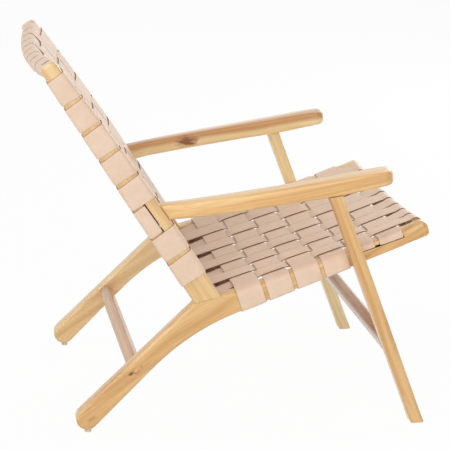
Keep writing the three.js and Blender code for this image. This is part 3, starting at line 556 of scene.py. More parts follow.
def inward_normals(outline):
    """Normals to the left of an anticlockwise outline, stretched at corners so that edges stay parallel."""
    arriving = left_of(unit(outline - np.roll(outline, 1, axis=0)))
    leaving = left_of(unit(np.roll(outline, -1, axis=0) - outline))
    mitre = unit(arriving + leaving)
    stretch = np.einsum("ij,ij->i", mitre, arriving)
    return mitre / np.maximum(stretch, 0.6)[:, None]


print("outlines have a point every", OUTLINE_SPACING, "mm")

# %% Flat sides with room for slots
INSIDE_RIMS = 1


def within(points, rim):
    """Which points lie inside a convex, anticlockwise rim: to the left of each of its edges."""
    edges = np.roll(rim, -1, axis=0) - rim
    return np.all(spanned(edges, points[:, None] - rim) > 0, axis=1)


def filled(rims):
    """Triangles of the area inside the first rim and outside the others, seen from the side y < 0."""
    sizes = [len(rim) for rim in rims]
    starts = np.cumsum(sizes) - sizes
    edges = np.concatenate([start + np.stack([np.arange(size), (np.arange(size) + 1) % size], axis=1)
                            for start, size in zip(starts, sizes)])
    points = np.concatenate(rims)
    corners = [Vector(point) for point in points.tolist()]
    places, _, faces, origins, _, _ = delaunay_2d_cdt(corners, edges.tolist(), [], INSIDE_RIMS, 1e-6)
    crossed = [tuple(place) for place, sources in zip(places, origins) if not sources]
    if crossed:
        raise ValueError(f"rims cross at {crossed}")
    origin = np.array([sources[0] for sources in origins])
    triangles = origin[np.array(faces)][:, ::-1]
    for rim in rims[1:]:
        triangles = triangles[~within(points[triangles].mean(axis=1), rim)]
    return triangles


print("triangles of a square:", len(filled([np.array([[0.0, 0.0], [1.0, 0.0], [1.0, 1.0], [0.0, 1.0]])])))

# %% A board
EDGE_STEPS, BOARD_SHARP, FACE_INSET = 7, 42.0, 0.7
# Walls of holes take the second material, which is painted shade.
HOLE_SHADE = 1


def board(name, outline, radius, y_low, y_high, holes=()):
    """A board: rings inset by r (1 - cos a) at heights r (1 - sin a) below the face, a from 90 to 0
    degrees, first for one face and then for the other. Holes go straight through, and their walls
    get a dark wood of their own: painted shade for the shadow inside a slot."""
    middle, half = (y_low + y_high) / 2, (y_high - y_low) / 2
    turn = np.linspace(math.pi / 2, 0, EDGE_STEPS + 1)[:, None]
    inset = np.concatenate([radius[None] + FACE_INSET, radius * (1 - np.cos(turn))])
    level = np.concatenate([np.full_like(radius[None], half), half - radius * (1 - np.sin(turn))])
    inset = np.concatenate([inset, inset[::-1]])
    level = np.concatenate([level, -level[::-1]])
    flat = outline[None] + inset[..., None] * inward_normals(outline)[None]
    grid = in_frame(flat[..., 0], middle + level, flat[..., 1])
    rows, columns = grid.shape[:2]
    points = [grid.reshape(-1, 3)]
    loops, walls, count = [np.arange(columns)], [], rows * columns
    for hole in holes:
        size = len(hole)
        loops.append(count + np.arange(size))
        walls.append(count + grid_quads(2, size)[:, ::-1])
        points.extend(in_frame(hole[:, 0], middle + side * half, hole[:, 1]) for side in (1, -1))
        count += 2 * size
    points = np.concatenate(points)
    triangles = filled([flat[0], *holes])
    upper = np.concatenate(loops)[triangles]
    below = [loops[0] + (rows - 1) * columns, *[loop + len(loop) for loop in loops[1:]]]
    lower = np.concatenate(below)[triangles]
    quads = grid_quads(rows, columns)
    if enclosed_volume(points, quads) < 0:
        quads = quads[:, ::-1]
    faces = [np.concatenate([quads, *walls]), np.concatenate([upper, lower[:, ::-1]])]
    mesh = mesh_of(name, points, faces, BOARD_SHARP)
    # Walls of holes get the second material, painted shade for the dark inside of a slot.
    finish = np.zeros(len(mesh.polygons), dtype=np.int32)
    finish[len(quads):len(faces[0])] = HOLE_SHADE
    mesh.polygons.foreach_set("material_index", finish)
    return mesh


print("rings of a board:", 2 * (EDGE_STEPS + 2))

# %% A left and a right board
SIDES = (("left", 1), ("right", -1))


def add_boards(name, node, outline, radius, reach, grain_angle, seed, wood_of, holes=()):
    """A left and a right board between two distances from the chair's middle, with the grain at an angle of
    the side view. The finish may depend on the side and on the function that finds places in the grain."""
    for k, (side, sign) in enumerate(SIDES):
        low, high = sorted(sign * distance for distance in reach)
        mesh = board(name.format(side), outline, radius, low, high, holes)
        to_grain = mark_grain(mesh, [math.cos(grain_angle), 0.0, math.sin(grain_angle)], seed + k)
        add_piece(mesh, wood_of(side, to_grain), "wood", node.format(side))
        if holes:
            # The second material paints shade on the walls of the slots.
            mesh.materials.append(slot_wood)
        print(mesh.name, "has", len(mesh.polygons), "faces")


print("sides:", dict(SIDES))


# %% Arcs and corners of the side view
def arc(centre, radius, start, end, steps=24):
    """Points on a circle in the side view, from one angle to another."""
    angle = np.linspace(start, end, steps + 1)
    return np.asarray(centre) + radius * np.stack([np.cos(angle), np.sin(angle)], axis=1)


def crossing(start_a, way_a, start_b, way_b):
    """Where two lines of the side view meet."""
    return start_a + way_a * spanned(start_b - start_a, way_b) / spanned(way_a, way_b)


def fillet_path(corners, radii, steps):
    """A way with rounded corners, for one or for many ways at once: each inner corner becomes an arc whose
    centre lies on the bisector, r / sin(half angle) away, between the points r / tan(half angle) from it."""
    corner, before, after = corners[..., 1:-1, :], corners[..., :-2, :], corners[..., 2:, :]
    arriving, leaving = unit(before - corner), unit(after - corner)
    half = np.arccos(np.clip(np.sum(arriving * leaving, axis=-1), -1, 1)) / 2
    radii = np.broadcast_to(radii, half.shape)
    reach, depth = (radii / np.tan(half))[..., None], (radii / np.sin(half))[..., None]
    centre = corner + unit(arriving + leaving) * depth
    first, last = corner + arriving * reach - centre, corner + leaving * reach - centre
    sweep = (math.pi - 2 * half)[..., None, None]
    share = np.linspace(0, 1, steps + 1)[:, None]
    arcs = np.sin((1 - share) * sweep) * first[..., None, :] + np.sin(share * sweep) * last[..., None, :]
    arcs = centre[..., None, :] + arcs / np.sin(sweep)
    arcs = arcs.reshape(*corners.shape[:-2], -1, 2)
    return np.concatenate([corners[..., :1, :], arcs, corners[..., -1:, :]], axis=-2)


print("points of a quarter circle:", len(arc((0.0, 0.0), 1.0, 0.0, math.pi / 2)))

# %% [markdown]
# ## Side rails
#
# Each side rail is one piece with its rear leg: it runs down from the nose, bends at the knee and
# ends in a rounded heel. The crown is well rounded, since leather lies over it. A slot near the
# front takes the last two straps, and a round hole above the heel takes a plug.

# %% The line of the side rail
HEEL, HEEL_RADIUS = np.array([-1.9, 31.0]), 23.0
LEG_RAKE = math.radians(45.4)
KNEE_REACH = 105.0
NOSE_START, NOSE_UNDER, NOSE_ROUND = 422.0, 60.0, (9.0, 12.0)

rake = heading(LEG_RAKE)
rail_low = np.array(seat_at(0.0, -RAIL_REAR_HEIGHT))
rail_low_way = unit(np.array(seat_at(RAIL_LENGTH, -RAIL_NOSE_HEIGHT)) - rail_low)
leg_low = HEEL + HEEL_RADIUS * heading(LEG_RAKE - math.pi / 2)
knee = crossing(leg_low, rake, rail_low, rail_low_way)
bend = np.linspace(0, 1, 40)[:, None]
knee_curve = ((1 - bend) ** 2 * (knee - rake * KNEE_REACH) + 2 * bend * (1 - bend) * knee
              + bend ** 2 * (knee + rail_low_way * KNEE_REACH))
to_heel = HEEL - JOINT_REAR
tangent = math.atan2(to_heel[1], to_heel[0]) - math.asin(HEEL_RADIUS / np.linalg.norm(to_heel))
heel_arc = arc(HEEL, HEEL_RADIUS, tangent - math.pi / 2 + 2 * math.pi, LEG_RAKE + 1.5 * math.pi)


def crown(start, end, steps=40):
    """Points along the rail's crown, from one place on the seat line to another."""
    s = np.linspace(start, end, steps + 1)
    return np.stack(seat_at(s, seat_rise(s)), axis=1)


under_nose = RAIL_LENGTH - NOSE_UNDER
nose = fillet_path(np.array([
    seat_at(under_nose, -rail_height(under_nose)), seat_at(RAIL_LENGTH, -RAIL_NOSE_HEIGHT),
    seat_at(RAIL_LENGTH, NOSE_RISE), crown(NOSE_START, 0)[0]]), NOSE_ROUND, 10)
print("knee at", knee.round(1), "with", len(knee_curve), "points")

# %% Side rails, with the radius of the edge along each stretch
SLOT_LOW, SLOT_HIGH = -12.2, -7.5
SLOT_REAR, SLOT_FRONT, SLOT_CROWN = 280.6, 398.0, 277.5
JOINT_EASE, EASED, CRISP = 22.0, 5.5, 0.5
STRETCHER_REACH, PLUG_HOLE = 142.0, 6.3
RAIL_GRAIN = math.radians(34.0)
KNOT_DARK, KNOT_BROWN, KNOT_PALE = colour(122, 78, 44), colour(190, 134, 76), colour(204, 150, 92)
RAIL_KNOTS = {"left": [((141.7, RAIL_INNER, 178.3), 1.8, KNOT_DARK)],
              "right": [((86.9, -RAIL_OUTER, 126.5), 4.4, KNOT_DARK),
                        ((108.4, -RAIL_OUTER, 141.6), 2.6, KNOT_BROWN),
                        ((6.8, -RAIL_OUTER, 32.7), 6.0, KNOT_PALE)]}
RAIL_TONES = {"left": CREAM_TONES, "right": HONEY_TONES}

rail_outline, rail_radius = outline_of([
    (np.concatenate([heel_arc, knee_curve[:1]]), 6.0),
    (np.concatenate([knee_curve, nose[:1]]), EASED),
    (nose[:13], 7.5),
    (nose[12:], 11.0),
    (crown(NOSE_START, SLOT_FRONT), 11.5),
    (crown(SLOT_FRONT, SLOT_CROWN), EASED),
    (crown(SLOT_CROWN, JOINT_EASE), 12.0),
    (crown(JOINT_EASE, 0), 5.0),
    (np.stack([SEAT_REAR, JOINT_REAR]), CRISP),
    (np.stack([JOINT_REAR, heel_arc[0]]), EASED),
], 3)
slot_s = np.array([SLOT_REAR, SLOT_FRONT, SLOT_FRONT, SLOT_REAR])
slot_h = np.array([SLOT_LOW, SLOT_LOW, SLOT_HIGH, SLOT_HIGH])
rail_slot = np.stack(seat_at(slot_s, slot_h), axis=1)
rear_stretcher_place = HEEL + rake * STRETCHER_REACH
plug_hole = arc(rear_stretcher_place, PLUG_HOLE, 0, 2 * math.pi, 32)[:-1]
rail_finish = {}


def rail_wood(side, to_grain):
    """A rail's own wood with its knots, kept with the grain for the plug in it."""
    finish = wood_material(f"rail_wood_{side}", RAIL_TONES[side], 0.0, knots_in(to_grain, RAIL_KNOTS[side]))
    rail_finish[side] = to_grain, finish
    return finish


add_boards("rail_{}", "side_rail_{}", rail_outline, rail_radius, (RAIL_INNER, RAIL_OUTER), RAIL_GRAIN,
           seed=11, wood_of=rail_wood, holes=[rail_slot, plug_hole])

# %% [markdown]
# ## Back posts
#
# A post stands on the rail, flush with it, and tapers to a rounded top. Its front edge has a slight
# belly. Behind the armrest a slot lets one strap through, so that the arm can sit on bare wood.

# %% Back posts
POST_CORNER, POST_HEAD = 9.0, 40.0
FOOT_GAP, REAR_GAP = 0.4, 0.35
BACK_SLOT_DEPTH, SLOT_FRONT_ROOM, SLOT_REAR_ROOM = 20.0, 3.4, 2.2
BACK_SLOT_LOW, BACK_SLOT_HIGH = 183.75, 253.25

front_b = np.linspace(FOOT_GAP, POST_LENGTH - POST_HEAD, 80)
post_front = np.stack(back_at(front_b, post_belly(front_b)), axis=1)
post_top = fillet_path(np.array([
    post_front[-1], back_at(POST_LENGTH, 0.0), back_at(POST_LENGTH, -POST_TOP_DEPTH), JOINT_REAR]),
    POST_CORNER, 10)
post_foot_rear = JOINT_REAR + np.array([0.0, REAR_GAP])
post_outline, post_radius = outline_of([
    (np.concatenate([post_front, post_top[1:2]]), 6.5),
    (np.concatenate([post_top[1:-1], post_foot_rear[None]]), 5.0),
    (np.stack([post_foot_rear, post_front[0]]), CRISP),
])
slot_b = np.array([BACK_SLOT_LOW, BACK_SLOT_HIGH, BACK_SLOT_HIGH, BACK_SLOT_LOW])
slot_n = -BACK_SLOT_DEPTH + np.array([SLOT_FRONT_ROOM, SLOT_FRONT_ROOM, -SLOT_REAR_ROOM, -SLOT_REAR_ROOM])
post_slot = np.stack(back_at(slot_b, slot_n), axis=1)
add_boards("post_{}", "back_post_{}", post_outline, post_radius, (RAIL_INNER, RAIL_OUTER), BACK_ANGLE,
           seed=21, wood_of=lambda side, to_grain: post_wood, holes=[post_slot])

# %% [markdown]
# ## Front legs
#
# The front legs stand outside the rails and lean to the rear. They are cut level at the floor and
# along the armrest at the top, so only their long edges are eased.

# %% Front legs
LEG_FOOT, LEG_DEPTH = np.array([688.98, 0.0]), 26.4
LEG_LEAN = math.radians(21.2)
LEG_ANGLE = math.pi / 2 + LEG_LEAN
ARM_ANGLE = math.radians(8.0)
ARM_JOINT, ARM_LOW_DROP = 213.6, 16.0
GAP = 0.3

leg_up, leg_across = heading(LEG_ANGLE), heading(LEG_LEAN)
arm_start = np.array(back_at(ARM_JOINT, post_belly(ARM_JOINT) + GAP))
arm_way, arm_up = heading(ARM_ANGLE), heading(ARM_ANGLE + math.pi / 2)
under_arm = arm_start - arm_up * (ARM_LOW_DROP + GAP)
leg_edges = [LEG_FOOT + side * leg_across * LEG_DEPTH / 2 for side in (-1, 1)]
floor_start, floor_way = np.zeros(2), heading(0.0)
rear_foot, front_foot = [crossing(edge, leg_up, floor_start, floor_way) for edge in leg_edges]
rear_top, front_top = [crossing(edge, leg_up, under_arm, arm_way) for edge in leg_edges]
leg_foot = fillet_path(np.array([rear_top, rear_foot, front_foot, front_top]), 3.0, 5)
leg_outline, leg_radius = outline_of([
    (leg_foot[1:-1], 2.5),
    (np.stack([leg_foot[-2], front_top]), EASED),
    (np.stack([front_top, rear_top]), 0.6),
    (np.stack([rear_top, leg_foot[1]]), EASED),
])
LEG_WOOD = {"left": pale_wood, "right": wood}
add_boards("front_leg_{}_wood", "front_leg_{}", leg_outline, leg_radius, (LEG_INNER, LEG_OUTER), LEG_ANGLE,
           seed=31, wood_of=lambda side, to_grain: LEG_WOOD[side])

# %% [markdown]
# ## Armrests
#
# An armrest grows from the post's width into a broad, soft paddle that bends outwards over the
# leg. It is shaped by hand, so it has no flat side to start from: a rounded rectangle is carried
# along the arm, and its width, height and middle change on the way. The rear end is cut along the
# post, and the tip is rounded in plan and in side view.


# %% Lines and sections for the armrests
def smooth_through(knots, values, places):
    """A smooth line through given values: a cubic through the knots, by Hermite pieces with mean slopes."""
    knots, values = np.asarray(knots), np.asarray(values)
    slopes = np.gradient(values, knots)
    k = np.clip(np.searchsorted(knots, places, side="right") - 1, 0, len(knots) - 2)
    span = knots[k + 1] - knots[k]
    t = (places - knots[k]) / span
    return ((2 * t ** 3 - 3 * t ** 2 + 1) * values[k] + (t ** 3 - 2 * t ** 2 + t) * span * slopes[k]
            + (3 * t ** 2 - 2 * t ** 3) * values[k + 1] + (t ** 3 - t ** 2) * span * slopes[k + 1])


def rounded_loops(half_width, half_height, radius, steps=7):
    """Rounded rectangles, one for each entry: four corner centres plus r times a quarter circle."""
    radius = np.minimum(radius, 0.98 * np.minimum(half_width, half_height))[:, None]
    quarter = np.linspace(0, math.pi / 2, steps + 1)
    angle = np.concatenate([quarter + turn * math.pi / 2 for turn in range(4)])
    sign_u = np.repeat([1, -1, -1, 1], steps + 1)
    sign_v = np.repeat([1, 1, -1, -1], steps + 1)
    u = sign_u * (half_width[:, None] - radius) + radius * np.cos(angle)
    v = sign_v * (half_height[:, None] - radius) + radius * np.sin(angle)
    return u, v


def rounding(distance, radius):
    """How far a quarter circle of a radius has drawn in at a distance before its end."""
    near = np.clip(radius - distance, 0, radius)
    return radius - np.sqrt(radius ** 2 - near ** 2)


print("a round of 9 mm draws in by", rounding(np.array([0.0, 4.5, 9.0]), 9.0).round(2))

# %% The armrest's shape
ARM_LENGTH = 465.0
ARM_TOP = ([0.0, 0.33, 0.69, 0.93, 1.0], [16.5, 17.2, 18.4, 20.2, 19.8])
ARM_LOW = ([0.0, 0.6, 0.76, 0.88, 1.0], [16.5, 16.0, 16.0, 13.0, 10.0])
ARM_INNER = ([0.0, 0.09, 0.33, 0.69, 0.9, 1.0], [9.0, 12.0, 21.0, 24.0, 22.0, 20.0])
ARM_OUTER = ([0.0, 0.09, 0.33, 0.69, 0.9, 1.0], [5.0, 13.0, 28.0, 36.5, 39.0, 39.0])
ARM_EDGE, ARM_CROWN = 6.0, 1.2
TIP_PLAN, TIP_SIDE = 20.0, 9.0
ROOT_SHARE, ROOT_INNER, ROOT_OUTER, CUT_LENGTH = 0.09, 8.0, 4.0, 60.0
ARM_POINTS, TIP_POINTS = 70, 14

tip_distance = TIP_PLAN * (1 - np.cos(np.linspace(0, math.pi / 2, TIP_POINTS)))
shaft_t = np.linspace(0, ARM_LENGTH - TIP_PLAN, ARM_POINTS)[:-1]
arm_t = np.concatenate([shaft_t, (ARM_LENGTH - tip_distance)[::-1]])
arm_share = arm_t / ARM_LENGTH
root = np.clip(1 - arm_share / ROOT_SHARE, 0, 1)
plan_in, side_in = rounding(ARM_LENGTH - arm_t, TIP_PLAN), rounding(ARM_LENGTH - arm_t, TIP_SIDE)
arm_top = smooth_through(*ARM_TOP, arm_share) - side_in
arm_low = -smooth_through(*ARM_LOW, arm_share) + side_in
arm_inner = RAIL_INNER + smooth_through(*ARM_INNER, arm_share) - ROOT_INNER * root + plan_in
arm_outer = RAIL_OUTER + smooth_through(*ARM_OUTER, arm_share) - ROOT_OUTER * root - plan_in
across, rise = rounded_loops((arm_outer - arm_inner) / 2, (arm_top - arm_low) / 2, ARM_EDGE)
arm_y = (arm_outer + arm_inner)[:, None] / 2 + across
# The crown sets in over the upper quarter of the section.
crown_share = np.clip(rise / (arm_top - arm_low)[:, None] * 4 - 1, 0, 1)
fall = (2 * across / (arm_outer - arm_inner)[:, None]) ** 2
arm_v = (arm_top + arm_low)[:, None] / 2 + rise - ARM_CROWN * crown_share * fall
end_slope = 1 / math.tan(BACK_ANGLE - ARM_ANGLE)
arm_u = arm_t[:, None] + arm_v * end_slope * np.clip(1 - arm_t / CUT_LENGTH, 0, 1)[:, None]
arm_x = arm_start[0] + arm_u * arm_way[0] + arm_v * arm_up[0]
arm_z = arm_start[1] + arm_u * arm_way[1] + arm_v * arm_up[1]
print("arm is", round(float((arm_outer - arm_inner).max()), 1), "mm wide at most")

# %% Armrests
ARM_GRAIN_TURN, ARM_SEED = 0.05, 41
ARM_PITH = {"left": (0.4, 0.014, -0.018), "right": (1.1, 0.034, 0.012)}
ARM_HEART = {"left": 0.019, "right": 0.0}
ARM_KNOTS = {"left": [((287.0, RAIL_INNER + 21.0, 484.0), 16.0, colour(144, 84, 36))], "right": []}
ARM_WOOD = {"left": PALE_TONES, "right": ARM_TONES}
for k, (side, sign) in enumerate(SIDES):
    mesh = skin(f"arm_{side}", in_frame(arm_x, sign * arm_y, arm_z))
    arm_grain = [arm_way[0], ARM_GRAIN_TURN * sign, arm_way[1]]
    to_grain = mark_grain(mesh, arm_grain, ARM_SEED + k, ARM_PITH[side])
    arm_wood = wood_material(f"arm_wood_{side}", ARM_WOOD[side], ARM_HEART[side],
                             knots_in(to_grain, ARM_KNOTS[side]))
    add_piece(mesh, arm_wood, "wood", f"armrest_{side}")
    print(mesh.name, "has", len(mesh.polygons), "faces")

# %% [markdown]
# ## Bars between the sides
#
# Six bars hold the sides apart. Two stretchers are straight, with eased edges. The top rail, the
# lower back bar and the two seat bars are bowed, which gives seat and back their hollow, and the
# lengthwise straps go round them. Each is a section carried across the chair.

# %% Where each bar sits, and how it is made
FRONT_STRETCHER_HEIGHT = 171.0
TOP_RAIL_B, TOP_RAIL_LIFT = POST_LENGTH - 15.5, 2.0
TOP_RAIL_N = -float(post_depth(TOP_RAIL_B)) / 2
FRONT_BAR_S, REAR_BAR_S, REAR_BAR_DROP = 436.0, -5.0, 18.0
FRONT_BAR_H = float(seat_rise(FRONT_BAR_S)) - 11.8
LOWER_BAR_B, LOWER_BAR_N = 38.0, -22.0
SEAT_BAR, LOWER_BAR = 12.0, 13.0
FRONT_DIP, REAR_DIP, TOP_BOW, LOWER_BOW = 16.0, 8.0, 21.0, 8.0
BAR_END, BAR_POINTS = RAIL_INNER - GAP, 41
# The front stretcher's darker brown is painted shade from the seat above it.
BAR_WOOD = {"front_stretcher": wood_material("front_stretcher_wood", BROWN_SHADE_TONES),
            "rear_stretcher": wood_material("rear_stretcher_wood", STRETCHER_TONES)}


def hollow(y):
    """Depth of the hollow across the chair: 1 - (y / half width) squared, 1 in the middle, 0 at the rails."""
    return 1 - (y / RAIL_INNER) ** 2


def add_bar(node, centre, direction, size, radius, end, bow=0.0, bow_way=(0.0, 0.0)):
    """A section with rounded corners, size along direction and across it, carried from -end to end."""
    along, normal = heading(direction), heading(direction + math.pi / 2)
    u, v = rounded_loops(np.array([size[0] / 2]), np.array([size[1] / 2]), radius)
    y = np.linspace(-end, end, BAR_POINTS)[:, None]
    shift = bow * hollow(y)
    x = centre[0] + u * along[0] + v * normal[0] + shift * bow_way[0]
    z = centre[1] + u * along[1] + v * normal[1] + shift * bow_way[1]
    name = f"{node}_wood"
    mesh = skin(name, in_frame(x, y, z))
    mark_grain(mesh, [0.0, 1.0, 0.0], sum(map(ord, name)))
    add_piece(mesh, BAR_WOOD.get(node, wood), "wood", node)
    print(name, "has", len(mesh.polygons), "faces")


print("bars end", BAR_END, "mm from the middle")

# %% Bars
front_stretcher_place = LEG_FOOT + leg_up * FRONT_STRETCHER_HEIGHT / leg_up[1]
top_place = back_at(TOP_RAIL_B + TOP_RAIL_LIFT, TOP_RAIL_N)
lower_place = back_at(LOWER_BAR_B, LOWER_BAR_N)
back_way, down_way = heading(BACK_ANGLE + math.pi / 2), -heading(SEAT_ANGLE + math.pi / 2)
seat_round, lower_round = (2 * SEAT_BAR, 2 * SEAT_BAR), (2 * LOWER_BAR, 2 * LOWER_BAR)
add_bar("front_stretcher", front_stretcher_place, LEG_ANGLE, (31.0, 26.0), 7.0, LEG_INNER - GAP)
add_bar("rear_stretcher", rear_stretcher_place, LEG_RAKE, (27.0, 26.0), 8.0, BAR_END)
add_bar("top_rail", top_place, BACK_ANGLE, (20.0, 27.0), 9.0, BAR_END, TOP_BOW, back_way)
add_bar("seat_front_bar", seat_at(FRONT_BAR_S, FRONT_BAR_H), SEAT_ANGLE, seat_round, SEAT_BAR, BAR_END,
        FRONT_DIP, down_way)
add_bar("seat_rear_bar", seat_at(REAR_BAR_S, -REAR_BAR_DROP), SEAT_ANGLE, seat_round, SEAT_BAR, BAR_END,
        REAR_DIP, down_way)
add_bar("back_lower_bar", lower_place, BACK_ANGLE, lower_round, LOWER_BAR, BAR_END, LOWER_BOW, back_way)

# %% [markdown]
# ## How a strap is made
#
# A strap is cut from hide: long, flat, about two and a half millimetres thick, with square cut
# edges. Here it is a flat profile carried along its way through the weave. The way is worked out
# for every place across the strap at once, because the hollow of the seat bends its two edges
# differently. Over and under follow a rounded square wave, so the strap arches softly over its
# neighbours instead of breaking at their edges.

# %% Weave and profile
STRAP, SEATED, LIFT = 2.3, 1.45, 2.0
STRAP_EDGE, STRAP_DOME = 0.7, 0.25
WEAVE_SOFTNESS = 3.4
CORNER_STEPS, FACE_STEPS = 3, 9


def weave(place, pitch):
    """Over and under: tanh(k cos(pi place / pitch)) / tanh(k), from 1 over to -1 under."""
    return np.tanh(WEAVE_SOFTNESS * np.cos(math.pi * place / pitch)) / math.tanh(WEAVE_SOFTNESS)


def ease(value, low, high):
    """Smooth step from 0 at low to 1 at high."""
    t = np.clip((value - low) / (high - low), 0, 1)
    return t * t * (3 - 2 * t)


def strap_profile(width, dome=STRAP_DOME):
    """Section of a strap: place across it, height in it, and 1 on the cut edges. Both faces fall off
    towards the edges by the dome, as the fourth power of the place."""
    half, thick = width / 2, STRAP / 2
    turn = np.linspace(0, math.pi / 2, CORNER_STEPS + 1)
    corner_v = half - STRAP_EDGE + STRAP_EDGE * np.cos(turn)
    corner_e = thick - STRAP_EDGE + STRAP_EDGE * np.sin(turn)
    corner_m = np.linspace(1.0, 0.0, CORNER_STEPS + 1)
    span = np.linspace(corner_v[-1], -corner_v[-1], FACE_STEPS + 2)[1:-1]
    v = np.concatenate([corner_v, span, -corner_v[::-1], -corner_v, span[::-1], corner_v[::-1]])
    e = np.concatenate([corner_e, np.full(FACE_STEPS, thick), corner_e[::-1]])
    m = np.concatenate([corner_m, np.zeros(FACE_STEPS), corner_m[::-1]])
    return v, np.concatenate([e, -e]) - dome * (v / half) ** 4, np.concatenate([m, m])


print("strap profile:", len(strap_profile(50.0)[0]), "points")

# %% From ways to straps
STRAP_SHARP, HIDE_REACH = 55.0, 4.0


def stacked(*points):
    """Corners of many ways: each point's two numbers may be one value or one for each way."""
    columns = [np.stack(np.broadcast_arrays(*point), axis=-1) for point in points]
    size = max(column.shape[0] if column.ndim > 1 else 1 for column in columns)
    return np.stack([np.broadcast_to(column, (size, 2)) for column in columns], axis=1)


def offset_ways(ways, heights):
    """Each way moved to its left by its own height: along the bisector of the stretches that meet there."""
    stretches = unit(np.diff(ways, axis=1))
    arriving = np.concatenate([stretches[:, :1], stretches], axis=1)
    leaving = np.concatenate([stretches, stretches[:, -1:]], axis=1)
    return ways + heights[:, None, None] * left_of(unit(arriving + leaving))


def add_straps(kind, middles, width, ways_of, place_of, first_over, seed, dome=STRAP_DOME):
    """Straps side by side, over and under in turn. A strap's ways (across, along, 2) lie in a plane at its
    middle plus each place across it, are thickened by the profile and then put in their place."""
    v, e, m = strap_profile(width, dome)
    for number, middle in enumerate(middles, 1):
        ways = ways_of(number, middle + v, first_over if number % 2 else -first_over)
        flat = offset_ways(ways, e)
        x, y, z = place_of(number, middle, v[:, None], flat[..., 0], flat[..., 1])
        mesh = skin(f"{kind}_{number}", in_frame(x, y, z).transpose(1, 0, 2), STRAP_SHARP)
        start = np.random.default_rng(seed + number).uniform(-HIDE_REACH, HIDE_REACH, 2)
        # A quarter of the way round the profile is near the middle of the upper face.
        along = travelled(ways[len(ways) // 4])[:, None] * MM + start[0]
        on_hide = np.broadcast_arrays(along, v[None] * MM + start[1], m[None])
        mark(mesh, "strap", np.stack(on_hide, axis=-1).reshape(-1, 3))
        add_piece(mesh, leather, "leather", f"{kind}_strap_{number}")
    print(kind, "straps:", len(middles), "with", len(mesh.polygons), "faces each")


print("a strap is shaded smooth up to", STRAP_SHARP, "degrees")

# %% [markdown]
# ## Straps across the seat
#
# Six straps run across the seat. The first four go round the whole rail and are tacked inside it.
# The front leg stands in the way of the last two, so these dive into the slot in the rail instead.

# %% The seat's hollow, and ways across the chair
LONG_COUNT, LONG_PITCH, LONG_WIDTH = 9, 56.4, 48.2
WEAVE_END, CROSS_POINTS, END_STEPS = 245.0, 231, 7
OUTER_LONG = LONG_PITCH * (LONG_COUNT - 1) / 2

cross_y = np.linspace(-WEAVE_END, WEAVE_END, CROSS_POINTS)
cross_lift = LIFT * weave(np.clip(cross_y, -OUTER_LONG, OUTER_LONG), LONG_PITCH)


def seat_dish(s, y):
    """Height of the seat at s and y: the crown's rise less a hollow that deepens to the front."""
    share = (s - REAR_BAR_S) / (FRONT_BAR_S - REAR_BAR_S)
    return seat_rise(s) - between(REAR_DIP, FRONT_DIP, share) * hollow(y)


def cross_ways(heights, corners, radii):
    """Ways across the chair: one end, the weave at its heights, and the same end on the other side."""
    woven = np.stack(np.broadcast_arrays(cross_y, heights), axis=-1)
    end = fillet_path(stacked((WEAVE_END, heights[:, -1]), *corners), radii, END_STEPS)[:, 1:]
    return np.concatenate([end[:, ::-1] * np.array([-1.0, 1.0]), woven, end], axis=1)


print("weave above the seat line in front:", round(float(seat_dish(FRONT_BAR_S, 0.0)), 1), "mm")

# %% Straps across the seat
SEAT_FIRST, SEAT_PITCH, SEAT_WIDTH, SEAT_COUNT, SEAT_WRAPPED = 59.0, 62.2, 51.2, 6, 4
WRAP_SPREAD, TAIL = 0.058, 20.0
SLOT_MIDDLE, SLOT_REACH, SLOT_ROUND = -9.7, 3.0, 2.2
LANDING, LANDING_ROUND = RAIL_INNER + 6.0, 16.0
CROWN_ROUND, SLOT_CROWN_ROUND, LOW_ROUND = 13.0, 7.5, 6.5
OUTER, INNER = RAIL_OUTER + SEATED, RAIL_INNER - SEATED


def seat_cross_ways(number, s, over):
    """Ways of a seat strap at places s: the weave, the crown, then round the rail or into its slot."""
    heights = seat_dish(s[:, None], cross_y) + over * cross_lift
    top, low = seat_rise(s) + SEATED, -rail_height(s) - SEATED
    if number > SEAT_WRAPPED:
        corners = (LANDING, top), (OUTER, top), (OUTER, SLOT_MIDDLE), (RAIL_INNER - SLOT_REACH, SLOT_MIDDLE)
        return cross_ways(heights, corners, (LANDING_ROUND, SLOT_CROWN_ROUND, SLOT_ROUND))
    corners = (LANDING, top), (OUTER, top), (OUTER, low), (INNER, low), (INNER, low + TAIL)
    return cross_ways(heights, corners, (LANDING_ROUND, CROWN_ROUND, LOW_ROUND, LOW_ROUND))


def on_seat(number, middle, v, y, h):
    """Seat line and height to the side view, with y across; pulled tight round the rail, a strap widens."""
    wider = WRAP_SPREAD if number <= SEAT_WRAPPED else 0.0
    x, z = seat_at(middle + v * (1 + wider * ease(np.abs(y), WEAVE_END, RAIL_OUTER)), h)
    return x, y, z


seat_middles = SEAT_FIRST + SEAT_PITCH * np.arange(SEAT_COUNT)
add_straps("seat_cross", seat_middles, SEAT_WIDTH, seat_cross_ways, on_seat, first_over=1, seed=100)

# %% [markdown]
# ## Straps along the seat
#
# Nine straps run from the rear bar to the front bar, over one cross strap and under the next. At
# both ends they go round the bar, and their tails come back and are fixed below the weave.

# %% Round a bar and back below the weave
TURN_POINTS, TAIL_STEPS, UNDER_WEAVE = 31, 12, 5.6
rear_turn = np.radians(np.linspace(-60, -262, TURN_POINTS))
front_turn = np.radians(np.linspace(97, -120, TURN_POINTS))


def around(place, height, radius, turn):
    """Points round a bar for each way: the bar's middle plus the radius at each angle."""
    return np.stack([place + radius * np.cos(turn) + 0 * height[:, None],
                     height[:, None] + radius * np.sin(turn)], axis=-1)


